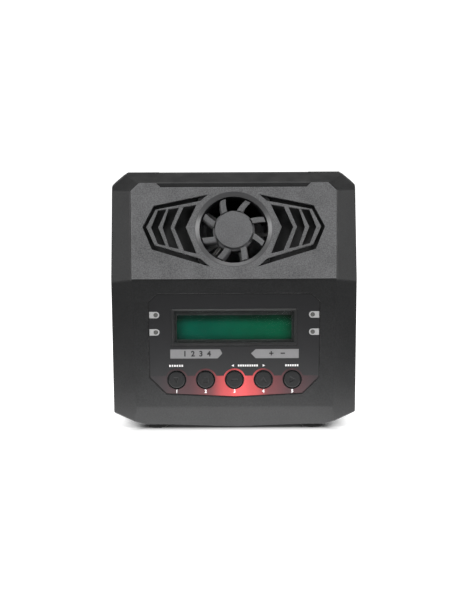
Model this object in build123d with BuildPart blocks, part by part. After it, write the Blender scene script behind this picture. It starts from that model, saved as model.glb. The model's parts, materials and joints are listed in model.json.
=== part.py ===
from build123d import *
import itertools
import math
import os

# Bench battery charger that stands on its bottom wall.
# Frame: +Z up, -Y towards the user, +X to the user's right.
# Origin: on the floor, under the middle of the case.

os.makedirs("parts", exist_ok=True)

# ---- Driving dimensions, in millimetres ----
TOTAL_DEPTH = 66.6
CASE_TOP = 141.9
RIDGE_Z = 84.4
FACE_BEND = 22.0
PARTING_Y = 4.0
WALL = 2.4
FAN_WALL = 3.4
FOOT_HEIGHT = 2.2
FOOT_RADIUS = 6.1
BUTTON_PROUD = 0.6
V_TIP_Z = 0.9
EDGE_FLAT = 0.9
BACK_EDGE_FLAT = 2.2

FRONT_Y = BUTTON_PROUD - TOTAL_DEPTH / 2
BACK_Y = TOTAL_DEPTH / 2
INSIDE_FRONT_Y = FRONT_Y + WALL
INSIDE_BACK_Y = BACK_Y - WALL

# Widths of the case where its facets meet
RIDGE_HALF_WIDTH = 69.1
PARTING_HALF_WIDTH = 70.1
CREASE_HALF_WIDTH = 57.4
BLOCK_HALF_WIDTH = 72.0

# Display face
LCD_CENTRE_Z = 57.8
LCD_OPENING = (67.4, 18.2)
LCD_LIP = 1.6
LCD_VIEW = (64.6, 14.0)
BUTTON_Z = 28.0
BUTTON_PITCH = 16.25
BUTTON_RADIUS = 4.7
BUTTON_HOLE_RADIUS = 5.15
LABEL_HOLE_RADIUS = 5.45
BUTTON_TRAVEL = 0.5
BUTTON_NAMES = ["select", "stop", "lower", "raise", "start"]
LED_X = 44.0
LED_ROWS = [64.9, 55.1]
LED_RADIUS = 1.1
LABEL_THICKNESS = 0.25
LABEL_SINK = 0.35
LCD_DROP = 0.5
SWITCH_HEIGHT = 3.6
PLUNGER_RADIUS = 1.7

# Fan, a 40 mm axial fan set behind the vent panel
FAN_S = 29.7
FAN_SIZE = 40.0
FAN_THICKNESS = 10.0
FAN_BORE = 19.35
FAN_RING = 21.7
FAN_HOLE_PITCH = 32.0
HUB_RADIUS = 11.0
HUB_DEPTH = 0.6
HUB_LENGTH = 7.3
BLADE_TIP_RADIUS = 18.5
BLADE_DEPTH = 4.8
BLADE_PITCH = 45.0
BLADE_SWEEP = 3.5
BLADE_THICKNESS = 0.9
BLADE_COUNT = 8
BLADE_START = 22.7
STRUT_COUNT = 5
STRUT_START = -2.0
SHAFT_RADIUS = 1.0
BEARING_CLEARANCE = 0.03
WIRE_RADIUS = 0.55
PANEL_PROUD = 0.4
PANEL_POCKET = 1.4

# Closed valleys under the wings; depths are below the fan face
WING_SPAN = (7.8, 49.9)
WING_VALLEY_S = 33.0
WING_VALLEY_RADIUS = 6.0
WING_RIM = 2.4
WING_DEPTH = 8.4
WING_MARGIN = 0.5
WING_WALL = 1.6

# Boards
BOARD = 1.6
CONTROL_BOARD_Y = -22.0
SUPPLY_BOARD_Y = 2.0
MAIN_BOARD_Y = 22.0
HEATSINK_BACK_Y = 17.4
TRANSFORMER = (-22.0, 46.0)

# Sockets on the side walls: a balance socket and an output socket for each channel
CHANNEL_Z = [31.0, 83.0]
OUTPUT_RISE = 22.0
SOCKET_Y = 16.0
BALANCE_LENGTH = 20.0
BALANCE_HEIGHT = 7.0
BALANCE_PINS = 7
BALANCE_CAVITY = 7.5
PIN_PITCH = 2.5
OUTPUT_LENGTH = 16.0
OUTPUT_HEIGHT = 8.2
SOCKET_FACE_X = 69.8
CONTACT_RADIUS = 1.75
CONTACT_SPACING = 7.2
CORNER_CUT = 2.4

# Inlets in the recess of the top wall
RECESS_HALF_WIDTH = 42.6
RECESS_STEP = 0.4
RECESS_DEPTH = 4.5
INLET_X = -17.0
DC_SOCKET_X = 22.0
INLET_Y = 18.5
INLET_BODY = (27.0, 19.6)
INLET_LENGTH = 20.0
DC_BODY = (18.0, 10.4)

# Screws
SCREW_X = 60.0
SCREW_Z = [15.0, 122.0]
SCREW_RADIUS = 1.5
SCREW_HEAD_RADIUS = 2.8
BOSS_RADIUS = 3.6
SCREW_SINK = 15.0

# Feet and back wall
FOOT_X = 44.0
FOOT_Y = 24.8
BACK_SLOT = (30.0, 2.6)
BACK_SLOT_PITCH = 5.6
BACK_SLOT_ROWS = 8
BACK_SLOT_Z = 92.0


def plane_through(a, b, c, inside=(0, 0, 70)):
    """Plane through three points, its normal pointing away from the middle of the case."""
    first = Vector(*a)
    normal = (Vector(*b) - first).cross(Vector(*c) - first).normalized()
    if normal.dot(first - Vector(*inside)) < 0:
        normal = normal * -1
    return Plane(origin=first, z_dir=normal)


display = Plane(origin=(0, FRONT_Y, 0), x_dir=(1, 0, 0), z_dir=(0, -1, 0))
back_wall = Plane(origin=(0, BACK_Y, 0), x_dir=(-1, 0, 0), z_dir=(0, 1, 0))
bend = math.radians(FACE_BEND)
fan_face = Plane(
    origin=(0, FRONT_Y, RIDGE_Z),
    x_dir=(1, 0, 0),
    z_dir=(0, -math.cos(bend), math.sin(bend)),
)
fan_axis = fan_face.offset(0).shift_origin(fan_face.from_local_coords((0, FAN_S, 0)))


def on_fan_face(x, s, depth):
    """Point at x, at height s up the fan face, and at a depth behind it."""
    return tuple(fan_face.from_local_coords((x, s, -depth)))


def left_and_right(points):
    """The same three points on the right and mirrored to the left."""
    return [points, [(-x, y, z) for x, y, z in points]]


def flatten(pairs):
    """One list from a list of lists."""
    return [item for pair in pairs for item in pair]


# ---- Facets of the case, each a plane with its outward normal ----
side_lower = [
    (RIDGE_HALF_WIDTH, FRONT_Y + 7, RIDGE_Z),
    (RIDGE_HALF_WIDTH - 0.7, FRONT_Y + 7, 10),
    (PARTING_HALF_WIDTH, PARTING_Y, RIDGE_Z),
]
side_upper = [
    (RIDGE_HALF_WIDTH, FRONT_Y + 7, RIDGE_Z),
    (RIDGE_HALF_WIDTH, FRONT_Y + 27, 133),
    (PARTING_HALF_WIDTH, PARTING_Y, RIDGE_Z),
]
display_bevel = [
    (CREASE_HALF_WIDTH, FRONT_Y, RIDGE_Z),
    (CREASE_HALF_WIDTH - 2.4, FRONT_Y, 10),
    (RIDGE_HALF_WIDTH, FRONT_Y + 7, RIDGE_Z),
]
fan_bevel = [
    on_fan_face(CREASE_HALF_WIDTH + 0.1, 0, 0),
    on_fan_face(CREASE_HALF_WIDTH + 1.0, 52, 0),
    on_fan_face(RIDGE_HALF_WIDTH, 25, 7),
]
corner_bevel = [
    on_fan_face(58.6, 52.4, 0),
    on_fan_face(53.8, 57.1, 0),
    on_fan_face(64.4, 60.9, 7.5),
]
top_corner_front = [(69.4, PARTING_Y, 134.4), (60.3, PARTING_Y, CASE_TOP), (69.1, -8, 134.1)]
bottom_corner_front = [(68.05, FRONT_Y + 2, 7.7), (50.6, FRONT_Y + 2, 1.7), (68.35, PARTING_Y, 7.0)]
top_bevel = [on_fan_face(0, 57.1, 0), on_fan_face(10, 57.1, 0), on_fan_face(0, 64.6, 8)]
bottom_bevel = [(0, FRONT_Y, 12.3), (10, FRONT_Y, 12.3), (0, FRONT_Y + 1.5, FOOT_HEIGHT)]

front_facets = [plane_through(*points) for points in flatten([
    left_and_right(side_lower),
    left_and_right(side_upper),
    left_and_right(display_bevel),
    left_and_right(fan_bevel),
    left_and_right(corner_bevel),
    left_and_right(top_corner_front),
    left_and_right(bottom_corner_front),
])]
front_facets.append(plane_through(*top_bevel))
front_facets.append(plane_through(*bottom_bevel))

rear_side_lower = [
    (PARTING_HALF_WIDTH, PARTING_Y, RIDGE_Z),
    (PARTING_HALF_WIDTH - 0.7, PARTING_Y, 10),
    (PARTING_HALF_WIDTH - 0.7, BACK_Y, RIDGE_Z),
]
rear_side_upper = [
    (PARTING_HALF_WIDTH, PARTING_Y, RIDGE_Z),
    (PARTING_HALF_WIDTH - 0.6, PARTING_Y, 134.4),
    (PARTING_HALF_WIDTH - 0.7, BACK_Y, RIDGE_Z),
]
top_corner_rear = [(69.4, PARTING_Y, 134.4), (60.3, PARTING_Y, CASE_TOP), (68.9, BACK_Y, 133.8)]
bottom_corner_rear = [(68.35, PARTING_Y, 7.0), (50.9, PARTING_Y, 1.0), (68.15, BACK_Y, 7.5)]
top_rear = [(0, PARTING_Y, CASE_TOP), (10, PARTING_Y, CASE_TOP), (0, BACK_Y, CASE_TOP - 3.6)]

rear_facets = [plane_through(*points) for points in flatten([
    left_and_right(rear_side_lower),
    left_and_right(rear_side_upper),
    left_and_right(top_corner_rear),
    left_and_right(bottom_corner_rear),
])]
rear_facets.append(plane_through(*top_rear))

floor_with_v = [
    (-BLOCK_HALF_WIDTH, FOOT_HEIGHT),
    (-38, FOOT_HEIGHT),
    (0, V_TIP_Z),
    (38, FOOT_HEIGHT),
    (BLOCK_HALF_WIDTH, FOOT_HEIGHT),
]
flat_floor = [(-BLOCK_HALF_WIDTH, FOOT_HEIGHT + WALL), (BLOCK_HALF_WIDTH, FOOT_HEIGHT + WALL)]


def faceted_block(facets, front_y, back_y, inset, roof, floor_points):
    """Block between two depths, with every facet cut off it at the same inset."""
    with BuildPart() as block:
        with BuildSketch(Plane(origin=(0, back_y, 0), x_dir=(1, 0, 0), z_dir=(0, -1, 0))):
            with BuildLine():
                Polyline(
                    *floor_points,
                    (BLOCK_HALF_WIDTH, roof),
                    (-BLOCK_HALF_WIDTH, roof),
                    close=True,
                )
            make_face()
        extrude(amount=back_y - front_y)
        for facet in facets:
            split(bisect_by=facet.offset(-inset), keep=Keep.BOTTOM)
    return block.part


def softened(block, facet_pairs, width):
    """The block with a narrow flat of a given width cut along the edge of each facet pair."""
    with BuildPart() as soft:
        add(block)
        for first, second in facet_pairs:
            turn = first.z_dir.get_angle(second.z_dir)
            if not 8 < turn < 150:
                continue
            edge = first.intersect(second)
            outward = (first.z_dir + second.z_dir).normalized()
            drop = width / 2 * math.tan(math.radians(turn / 2))
            cut = Plane(origin=edge.position - outward * drop, z_dir=outward)
            if max(cut.to_local_coords(corner.center()).Z for corner in soft.vertices()) > 0.01:
                split(bisect_by=cut, keep=Keep.BOTTOM)
    return soft.part


front_hull = softened(
    faceted_block(front_facets + [fan_face], FRONT_Y, PARTING_Y, 0.0, CASE_TOP, floor_with_v),
    itertools.combinations(front_facets + [fan_face, display], 2),
    EDGE_FLAT,
)
front_cavity = faceted_block(
    front_facets + [fan_face.offset(WALL - FAN_WALL)],
    INSIDE_FRONT_Y, PARTING_Y + 1, WALL, CASE_TOP - WALL, flat_floor,
)
rear_hull = softened(
    faceted_block(rear_facets, PARTING_Y, BACK_Y, 0.0, CASE_TOP, floor_with_v),
    itertools.combinations(rear_facets, 2),
    EDGE_FLAT,
)
rear_hull = softened(rear_hull, [(facet, back_wall) for facet in rear_facets], BACK_EDGE_FLAT)
rear_cavity = faceted_block(
    rear_facets, PARTING_Y - 1, INSIDE_BACK_Y, WALL, CASE_TOP - WALL - RECESS_DEPTH, flat_floor
)

fan_frame_back = PANEL_POCKET + FAN_THICKNESS


def behind_fan_face(depth):
    """Plane square to the fan's axis, a depth behind the fan face."""
    return fan_axis.offset(-depth)


def at_depth(y):
    """Plane parallel to the display, facing the user, at a depth y."""
    return Plane(origin=(0, y, 0), x_dir=(1, 0, 0), z_dir=(0, -1, 0))


def side_plane(x, side):
    """Plane facing out of the case's side; its own x runs along +Z."""
    return Plane(origin=(x * side, 0, 0), x_dir=(0, 0, 1), z_dir=(side, 0, 0))


def finish(builder, name):
    """Label a finished sub-part and write its STEP file."""
    builder.part.label = name
    export_step(builder.part, f"parts/{name}.step")


def mirrored_outline(points):
    """An outline given on its right half, closed by its mirror image."""
    return points + [(-x, y) for x, y in reversed(points) if x > 0]


# ---- Outlines on the fan face, as x and height up the face ----
panel_outline = mirrored_outline([
    (57.3, 0.9),
    (58.2, 52.2),
    (53.6, 56.8),
    (43.9, 56.8),
    (41.3, 54.3),
])
band_outline = [
    (14.5, 49.9), (45.2, 43.4), (51.4, 31.0), (46.0, 17.9), (13.4, 7.8),
    (18.6, 12.5), (44.4, 20.5), (49.1, 31.0), (44.0, 41.1), (18.7, 46.1),
]
chevrons = [
    [(42.7, 40.8), (37.8, 41.3), (42.4, 30.8), (38.1, 19.9), (42.7, 21.2), (46.5, 30.8)],
    [(36.8, 41.5), (30.8, 42.3), (35.5, 30.8), (30.8, 18.1), (36.3, 19.4), (40.1, 30.8)],
    [(28.3, 42.8), (20.9, 43.9), (26.9, 30.8), (20.8, 15.3), (27.9, 17.1), (33.5, 30.8)],
]


def mirrored_points(points):
    """The outline's mirror image across x = 0."""
    return [(-x, y) for x, y in points]


def wing_bed(margin, rim, depth):
    """Solid that fills both wings down to a valley floor, at its rims and at its middle."""
    with BuildPart() as bed:
        with BuildSketch(fan_face.offset(-PANEL_POCKET / 2)):
            for wing in (band_outline[:5], mirrored_points(band_outline[:5])):
                with BuildLine():
                    Polyline(*wing, close=True)
                make_face()
            offset(amount=margin, kind=Kind.INTERSECTION)
        extrude(amount=-depth)
        with BuildSketch(Plane(origin=fan_face.origin, x_dir=fan_face.y_dir, z_dir=(1, 0, 0))) as valley:
            with BuildLine():
                Polyline(
                    (WING_SPAN[0] - margin, 0),
                    (WING_SPAN[0] - margin, -rim),
                    (WING_VALLEY_S, -depth),
                    (WING_SPAN[1] + margin, -rim),
                    (WING_SPAN[1] + margin, 0),
                    close=True,
                )
            make_face()
            fillet(valley.vertices().sort_by(Axis.Y)[0], WING_VALLEY_RADIUS)
        extrude(amount=BLOCK_HALF_WIDTH, both=True, mode=Mode.INTERSECT)
    return bed.part


# ---- Label outline and openings on the display face ----
label_outline = mirrored_outline([
    (0.0, 76.8),
    (43.3, 76.8),
    (48.2, 72.2),
    (47.7, 29.2),
    (38.4, 19.8),
    (0.0, 18.0),
])
button_places = [((i - 2) * BUTTON_PITCH, BUTTON_Z) for i in range(len(BUTTON_NAMES))]
led_places = [(side * LED_X, z) for side in (-1, 1) for z in LED_ROWS]
control_boss_places = [(x, z) for x in (-49, 49) for z in (12, 73)]
case_screw_places = [(x, z) for x in (-SCREW_X, SCREW_X) for z in SCREW_Z]
main_board_places = [(x, z) for x in (-44, 44) for z in (12, 110)]
output_rows = [z + OUTPUT_RISE for z in CHANNEL_Z]

standoff_places = [(x, z) for x in (-43, 43) for z in (20, 70)]
inductor_places = [(x, z) for x in (-12, 12) for z in (28, 50)]


def socket_places(side, rows):
    """Centres of a side wall's sockets, in the side plane's own x and y."""
    return [(z, -side * SOCKET_Y) for z in rows]


def output_plane(x, side, z):
    """Plane across an output socket, centred on it; its own x runs along +Z."""
    return side_plane(x, side).shift_origin((x * side, SOCKET_Y, z))


def cut_corner_rectangle(length, height):
    """Rectangle with the two corners at its far end cut, as a polarised plug has."""
    Polygon(
        (-length / 2, -height / 2),
        (length / 2 - CORNER_CUT, -height / 2),
        (length / 2, CORNER_CUT - height / 2),
        (length / 2, height / 2 - CORNER_CUT),
        (length / 2 - CORNER_CUT, height / 2),
        (-length / 2, height / 2),
        align=None,
    )


def contact_places(side, row):
    """Centres of the two contacts of an output socket."""
    middle = output_rows[row]
    return [(middle + step, -side * SOCKET_Y) for step in (-CONTACT_SPACING / 2, CONTACT_SPACING / 2)]


# ---- Case: front half ----
with BuildPart() as front_bosses:
    with BuildSketch(at_depth(PARTING_Y)):
        with Locations(*case_screw_places):
            Circle(BOSS_RADIUS)
    extrude(amount=PARTING_Y - FRONT_Y)
    with BuildSketch(at_depth(CONTROL_BOARD_Y)):
        with Locations(*control_boss_places):
            Circle(2.6)
    extrude(amount=CONTROL_BOARD_Y - FRONT_Y)
    add(front_hull, mode=Mode.INTERSECT)

with BuildPart() as front_case:
    add(front_hull)
    add(front_cavity, mode=Mode.SUBTRACT)
    add(front_bosses.part)
    # lowered middle of the top edge
    with BuildSketch(at_depth(PARTING_Y + 1)):
        with Locations((0, CASE_TOP)):
            Rectangle(2 * RECESS_HALF_WIDTH, 2 * RECESS_STEP)
    extrude(amount=30, mode=Mode.SUBTRACT)
    # closed valleys under both wings
    add(wing_bed(WING_MARGIN + WING_WALL, WING_RIM + WING_WALL, WING_DEPTH + WING_WALL))
    add(wing_bed(WING_MARGIN, WING_RIM, WING_DEPTH), mode=Mode.SUBTRACT)
    # pocket for the vent panel, and the square hole the fan passes through
    with BuildSketch(fan_face):
        with BuildLine():
            Polyline(*panel_outline, close=True)
        make_face()
        offset(amount=0.08, kind=Kind.INTERSECTION)
    extrude(amount=-PANEL_POCKET, mode=Mode.SUBTRACT)
    with BuildSketch(behind_fan_face(PANEL_POCKET - 0.5)):
        RectangleRounded(FAN_SIZE + 0.6, FAN_SIZE + 0.6, 3.2)
    extrude(amount=-WING_DEPTH - 2 * WING_WALL, mode=Mode.SUBTRACT)
    # sunk bed of the label
    with BuildSketch(display):
        with BuildLine():
            Polyline(*label_outline, close=True)
        make_face()
        offset(amount=0.15, kind=Kind.INTERSECTION)
    extrude(amount=-LABEL_SINK, mode=Mode.SUBTRACT)
    # window opening with its sloping lip
    with BuildSketch(display.offset(0.01)):
        with Locations((0, LCD_CENTRE_Z)):
            Rectangle(LCD_OPENING[0] + 2 * LCD_LIP, LCD_OPENING[1] + 2 * LCD_LIP)
    with BuildSketch(display.offset(-LCD_LIP)):
        with Locations((0, LCD_CENTRE_Z)):
            Rectangle(*LCD_OPENING)
    loft(mode=Mode.SUBTRACT)
    with BuildSketch(display):
        with Locations((0, LCD_CENTRE_Z)):
            Rectangle(*LCD_OPENING)
        with Locations(*button_places):
            Circle(BUTTON_HOLE_RADIUS)
        with Locations(*led_places):
            Circle(LED_RADIUS + 0.05)
    extrude(amount=-WALL - 0.1, mode=Mode.SUBTRACT)
    # pilot holes of the screws
    with BuildSketch(at_depth(PARTING_Y)):
        with Locations(*case_screw_places):
            Circle(SCREW_RADIUS)
    extrude(amount=10, mode=Mode.SUBTRACT)
    with BuildSketch(at_depth(CONTROL_BOARD_Y)):
        with Locations(*control_boss_places):
            Circle(1.0)
    extrude(amount=5, mode=Mode.SUBTRACT)
finish(front_case, "front_case")


# ---- Vent panel: the light plate with the wings and the fan ring ----
with BuildPart() as vent_panel:
    with BuildSketch(fan_face.offset(-PANEL_POCKET)):
        with BuildLine():
            Polyline(*panel_outline, close=True)
        make_face()
    extrude(amount=PANEL_POCKET + PANEL_PROUD)
    chamfer(vent_panel.faces().filter_by(lambda f: f.normal_at().dot(fan_face.z_dir) > 0.99).edges(), 0.25)
    with BuildSketch(fan_face.offset(PANEL_PROUD)):
        for outline in [band_outline] + chevrons:
            for wing in (outline, mirrored_points(outline)):
                with BuildLine():
                    Polyline(*wing, close=True)
                make_face()
    extrude(amount=-PANEL_POCKET - PANEL_PROUD, mode=Mode.SUBTRACT)
    with BuildSketch(behind_fan_face(PANEL_POCKET)):
        Circle(FAN_BORE)
    extrude(amount=3, mode=Mode.SUBTRACT)
    with BuildSketch(behind_fan_face(PANEL_POCKET - 0.6)):
        Circle(FAN_BORE)
    with BuildSketch(behind_fan_face(-PANEL_PROUD - 0.01)):
        Circle(FAN_RING)
    loft(mode=Mode.SUBTRACT)
    with BuildSketch(behind_fan_face(PANEL_POCKET)):
        with GridLocations(FAN_HOLE_PITCH, FAN_HOLE_PITCH, 2, 2):
            Circle(1.25)
    extrude(amount=1.3, mode=Mode.SUBTRACT)
finish(vent_panel, "vent_panel")

# ---- Case: rear half ----
with BuildPart() as rear_bosses:
    with BuildSketch(at_depth(BACK_Y)):
        with Locations(*case_screw_places):
            Circle(BOSS_RADIUS + 0.8)
    extrude(amount=BACK_Y - PARTING_Y)
    with BuildSketch(at_depth(BACK_Y)):
        with Locations(*main_board_places):
            Circle(3.0)
    extrude(amount=BACK_Y - MAIN_BOARD_Y - BOARD)
    add(rear_hull, mode=Mode.INTERSECT)

with BuildPart() as rear_case:
    add(rear_hull)
    add(rear_cavity, mode=Mode.SUBTRACT)
    add(rear_bosses.part)
    # lowered middle of the top edge, and the deeper recess around the inlets
    with BuildSketch(at_depth(PARTING_Y + 3)):
        with Locations((0, CASE_TOP)):
            Rectangle(2 * RECESS_HALF_WIDTH, 2 * RECESS_STEP)
    extrude(amount=4, mode=Mode.SUBTRACT)
    with BuildSketch(at_depth(BACK_Y + 1)):
        with Locations((0, CASE_TOP)):
            Rectangle(2 * RECESS_HALF_WIDTH, 2 * RECESS_DEPTH)
    extrude(amount=BACK_Y - PARTING_Y - 2, mode=Mode.SUBTRACT)
    # inlet openings in the recess
    with BuildSketch(Plane.XY.offset(CASE_TOP)):
        with Locations((INLET_X, INLET_Y)):
            Rectangle(INLET_BODY[0] + 0.4, INLET_BODY[1] + 0.4)
    extrude(amount=-RECESS_DEPTH - WALL - 1, mode=Mode.SUBTRACT)
    with BuildSketch(Plane(origin=(DC_SOCKET_X, INLET_Y, CASE_TOP))):
        cut_corner_rectangle(DC_BODY[0] + 0.4, DC_BODY[1] + 0.4)
    extrude(amount=-RECESS_DEPTH - WALL - 1, mode=Mode.SUBTRACT)
    # socket openings in both side walls
    for side in (-1, 1):
        with BuildSketch(side_plane(BLOCK_HALF_WIDTH, side)):
            for place in socket_places(side, CHANNEL_Z):
                with Locations(place):
                    Rectangle(BALANCE_LENGTH + 0.3, BALANCE_HEIGHT + 0.3)
        extrude(amount=-10, mode=Mode.SUBTRACT)
        for z in output_rows:
            with BuildSketch(output_plane(BLOCK_HALF_WIDTH, side, z)):
                cut_corner_rectangle(OUTPUT_LENGTH + 0.3, OUTPUT_HEIGHT + 0.3)
            extrude(amount=-10, mode=Mode.SUBTRACT)
    # air slots in the back
    with BuildSketch(at_depth(BACK_Y)):
        with Locations((0, BACK_SLOT_Z)):
            with GridLocations(BACK_SLOT[0] + 8, BACK_SLOT_PITCH, 2, BACK_SLOT_ROWS):
                SlotOverall(*BACK_SLOT)
    extrude(amount=WALL + 0.1, mode=Mode.SUBTRACT)
    # bare shallow field for a rating plate
    with BuildSketch(at_depth(BACK_Y)):
        with Locations((0, 40)):
            RectangleRounded(70, 34, 2)
    extrude(amount=0.3, mode=Mode.SUBTRACT)
    # screw holes, counterbored from the back, and the main board's pilot holes
    with BuildSketch(at_depth(BACK_Y)):
        with Locations(*case_screw_places):
            Circle(SCREW_RADIUS + 0.15)
    extrude(amount=BACK_Y - PARTING_Y, mode=Mode.SUBTRACT)
    with BuildSketch(at_depth(BACK_Y)):
        with Locations(*case_screw_places):
            Circle(SCREW_HEAD_RADIUS + 0.2)
    extrude(amount=SCREW_SINK, mode=Mode.SUBTRACT)
    with BuildSketch(at_depth(MAIN_BOARD_Y + BOARD + 6)):
        with Locations(*main_board_places):
            Circle(1.0)
    extrude(amount=6, mode=Mode.SUBTRACT)
finish(rear_case, "rear_case")

# ---- Rubber feet under the bottom wall ----
with BuildPart() as base_feet:
    with BuildSketch(Plane.XY.offset(FOOT_HEIGHT)):
        with GridLocations(2 * FOOT_X, 2 * FOOT_Y, 2, 2):
            Circle(FOOT_RADIUS)
    extrude(amount=-FOOT_HEIGHT)
    chamfer(base_feet.faces().filter_by(Axis.Z).group_by(Axis.Z)[0].edges(), 0.4)
finish(base_feet, "base_feet")

# ---- Case screws, driven in from the back ----
with BuildPart() as case_screws:
    with BuildSketch(at_depth(BACK_Y - SCREW_SINK)):
        with Locations(*case_screw_places):
            Circle(SCREW_RADIUS)
    extrude(amount=BACK_Y - SCREW_SINK - PARTING_Y + 8)
    with BuildSketch(at_depth(BACK_Y - SCREW_SINK)):
        with Locations(*case_screw_places):
            Circle(SCREW_HEAD_RADIUS)
    extrude(amount=-1.9)
    with BuildSketch(at_depth(BACK_Y - SCREW_SINK + 1.9)):
        with Locations(*case_screw_places):
            Rectangle(3.0, 0.7)
            Rectangle(0.7, 3.0)
    extrude(amount=1.0, mode=Mode.SUBTRACT)
finish(case_screws, "case_screws")

# ---- Front label ----
with BuildPart() as front_label:
    with BuildSketch(display.offset(-LABEL_SINK)):
        with BuildLine():
            Polyline(*label_outline, close=True)
        make_face()
        with Locations((0, LCD_CENTRE_Z)):
            Rectangle(
                LCD_OPENING[0] + 2 * LCD_LIP + 0.4,
                LCD_OPENING[1] + 2 * LCD_LIP + 0.4,
                mode=Mode.SUBTRACT,
            )
        with Locations(*button_places):
            Circle(LABEL_HOLE_RADIUS, mode=Mode.SUBTRACT)
        with Locations(*led_places):
            Circle(LED_RADIUS + 0.1, mode=Mode.SUBTRACT)
    extrude(amount=LABEL_THICKNESS)
finish(front_label, "front_label")

# ---- Display module behind its clear window ----
with BuildPart() as lcd_window:
    with BuildSketch(at_depth(INSIDE_FRONT_Y)):
        with Locations((0, LCD_CENTRE_Z)):
            RectangleRounded(76, 24, 1.5)
    extrude(amount=-1.0)
finish(lcd_window, "lcd_window")

lcd_front_y = INSIDE_FRONT_Y + 1.05
lcd_depth = 4.0
with BuildPart() as lcd_bezel:
    with BuildSketch(at_depth(lcd_front_y)):
        with Locations((0, LCD_CENTRE_Z)):
            Rectangle(71.4, 24.4)
    extrude(amount=-lcd_depth)
    with BuildSketch(at_depth(lcd_front_y + 0.5)):
        with Locations((0, LCD_CENTRE_Z)):
            Rectangle(70.4, 23.4)
    extrude(amount=-lcd_depth, mode=Mode.SUBTRACT)
    with BuildSketch(at_depth(lcd_front_y)):
        with Locations((0, LCD_CENTRE_Z - LCD_DROP)):
            Rectangle(*LCD_VIEW)
    extrude(amount=-1, mode=Mode.SUBTRACT)
finish(lcd_bezel, "lcd_bezel")

with BuildPart() as lcd_glass:
    with BuildSketch(at_depth(lcd_front_y + 0.5)):
        with Locations((0, LCD_CENTRE_Z)):
            Rectangle(70.0, 22.0)
    extrude(amount=-2.0)
finish(lcd_glass, "lcd_glass")

with BuildPart() as lcd_backlight:
    with BuildSketch(at_depth(lcd_front_y + 2.5)):
        with Locations((0, LCD_CENTRE_Z)):
            Rectangle(70.0, 22.0)
    extrude(amount=2.5 - lcd_depth)
finish(lcd_backlight, "lcd_backlight")

with BuildPart() as lcd_board:
    with BuildSketch(at_depth(lcd_front_y + lcd_depth)):
        with Locations((0, LCD_CENTRE_Z)):
            Rectangle(80, 28)
    extrude(amount=-BOARD)
finish(lcd_board, "lcd_board")

# ---- Control board with switches, lamps and sounder ----
with BuildPart() as control_board:
    with BuildSketch(at_depth(CONTROL_BOARD_Y)):
        with Locations((0, 42.5)):
            RectangleRounded(106, 67, 2)
        with Locations(*control_boss_places):
            Circle(1.2, mode=Mode.SUBTRACT)
    extrude(amount=-BOARD)
finish(control_board, "control_board")

with BuildPart() as tact_switches:
    with BuildSketch(at_depth(CONTROL_BOARD_Y)):
        with Locations(*button_places):
            Rectangle(6.0, 6.0)
    extrude(amount=SWITCH_HEIGHT)
    with BuildSketch(at_depth(CONTROL_BOARD_Y - SWITCH_HEIGHT)):
        with Locations(*button_places):
            Circle(PLUNGER_RADIUS + 0.2)
    extrude(amount=-SWITCH_HEIGHT + 0.8, mode=Mode.SUBTRACT)
finish(tact_switches, "tact_switches")

with BuildPart() as status_leds:
    with BuildSketch(at_depth(CONTROL_BOARD_Y)):
        with Locations(*led_places):
            Circle(LED_RADIUS)
    extrude(amount=CONTROL_BOARD_Y - FRONT_Y - 0.1)
    with BuildSketch(at_depth(CONTROL_BOARD_Y)):
        with Locations(*led_places):
            Circle(1.9)
    extrude(amount=5.0)
finish(status_leds, "status_leds")

with BuildPart() as buzzer:
    with BuildSketch(at_depth(CONTROL_BOARD_Y + BOARD)):
        with Locations((44, 48)):
            Circle(6.0)
    extrude(amount=-7.0)
    with BuildSketch(at_depth(CONTROL_BOARD_Y + BOARD + 7.0)):
        with Locations((44, 48)):
            Circle(1.0)
    extrude(amount=2.0, mode=Mode.SUBTRACT)
finish(buzzer, "buzzer")

# ---- Buttons: a cap with its retaining flange, and the switch plunger under it ----
button_marks = {
    "select": [(-1.6, 1.4), (1.6, 1.4), (0.0, -1.6)],
    "stop": [(-1.5, -1.5), (1.5, -1.5), (1.5, 1.5), (-1.5, 1.5)],
    "lower": [(-1.8, -0.35), (1.8, -0.35), (1.8, 0.35), (-1.8, 0.35)],
    "raise": [(-1.6, -1.4), (1.6, -1.4), (0.0, 1.6)],
    "start": [(-1.3, -1.7), (1.7, 0.0), (-1.3, 1.7)],
}
plunger_top_y = CONTROL_BOARD_Y - SWITCH_HEIGHT - 1.0
for name, place in zip(BUTTON_NAMES, button_places):
    with BuildPart() as button:
        with BuildSketch(at_depth(INSIDE_FRONT_Y + 1.2)):
            with Locations(place):
                Circle(BUTTON_RADIUS)
        extrude(amount=WALL + 1.2 + BUTTON_PROUD)
        fillet(button.faces().sort_by(Axis.Y)[0].edges(), 0.6)
        with BuildSketch(at_depth(INSIDE_FRONT_Y + 1.2)):
            with Locations(place):
                Circle(BUTTON_RADIUS + 1.3)
        extrude(amount=1.0)
        with BuildSketch(at_depth(plunger_top_y)):
            with Locations(place):
                Circle(2.2)
        extrude(amount=plunger_top_y - INSIDE_FRONT_Y - 1.2)
        cap_top = Plane(
            origin=(place[0], FRONT_Y - BUTTON_PROUD, place[1]), x_dir=(1, 0, 0), z_dir=(0, -1, 0)
        )
        with BuildSketch(cap_top):
            with BuildLine():
                Polyline(*button_marks[name], close=True)
            make_face()
        extrude(amount=-0.25, mode=Mode.SUBTRACT)
    finish(button, f"button_{name}")
    with BuildPart() as plunger:
        with BuildSketch(at_depth(plunger_top_y)):
            with Locations(place):
                Circle(PLUNGER_RADIUS)
        extrude(amount=-2.2)
    finish(plunger, f"plunger_{name}")

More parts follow.
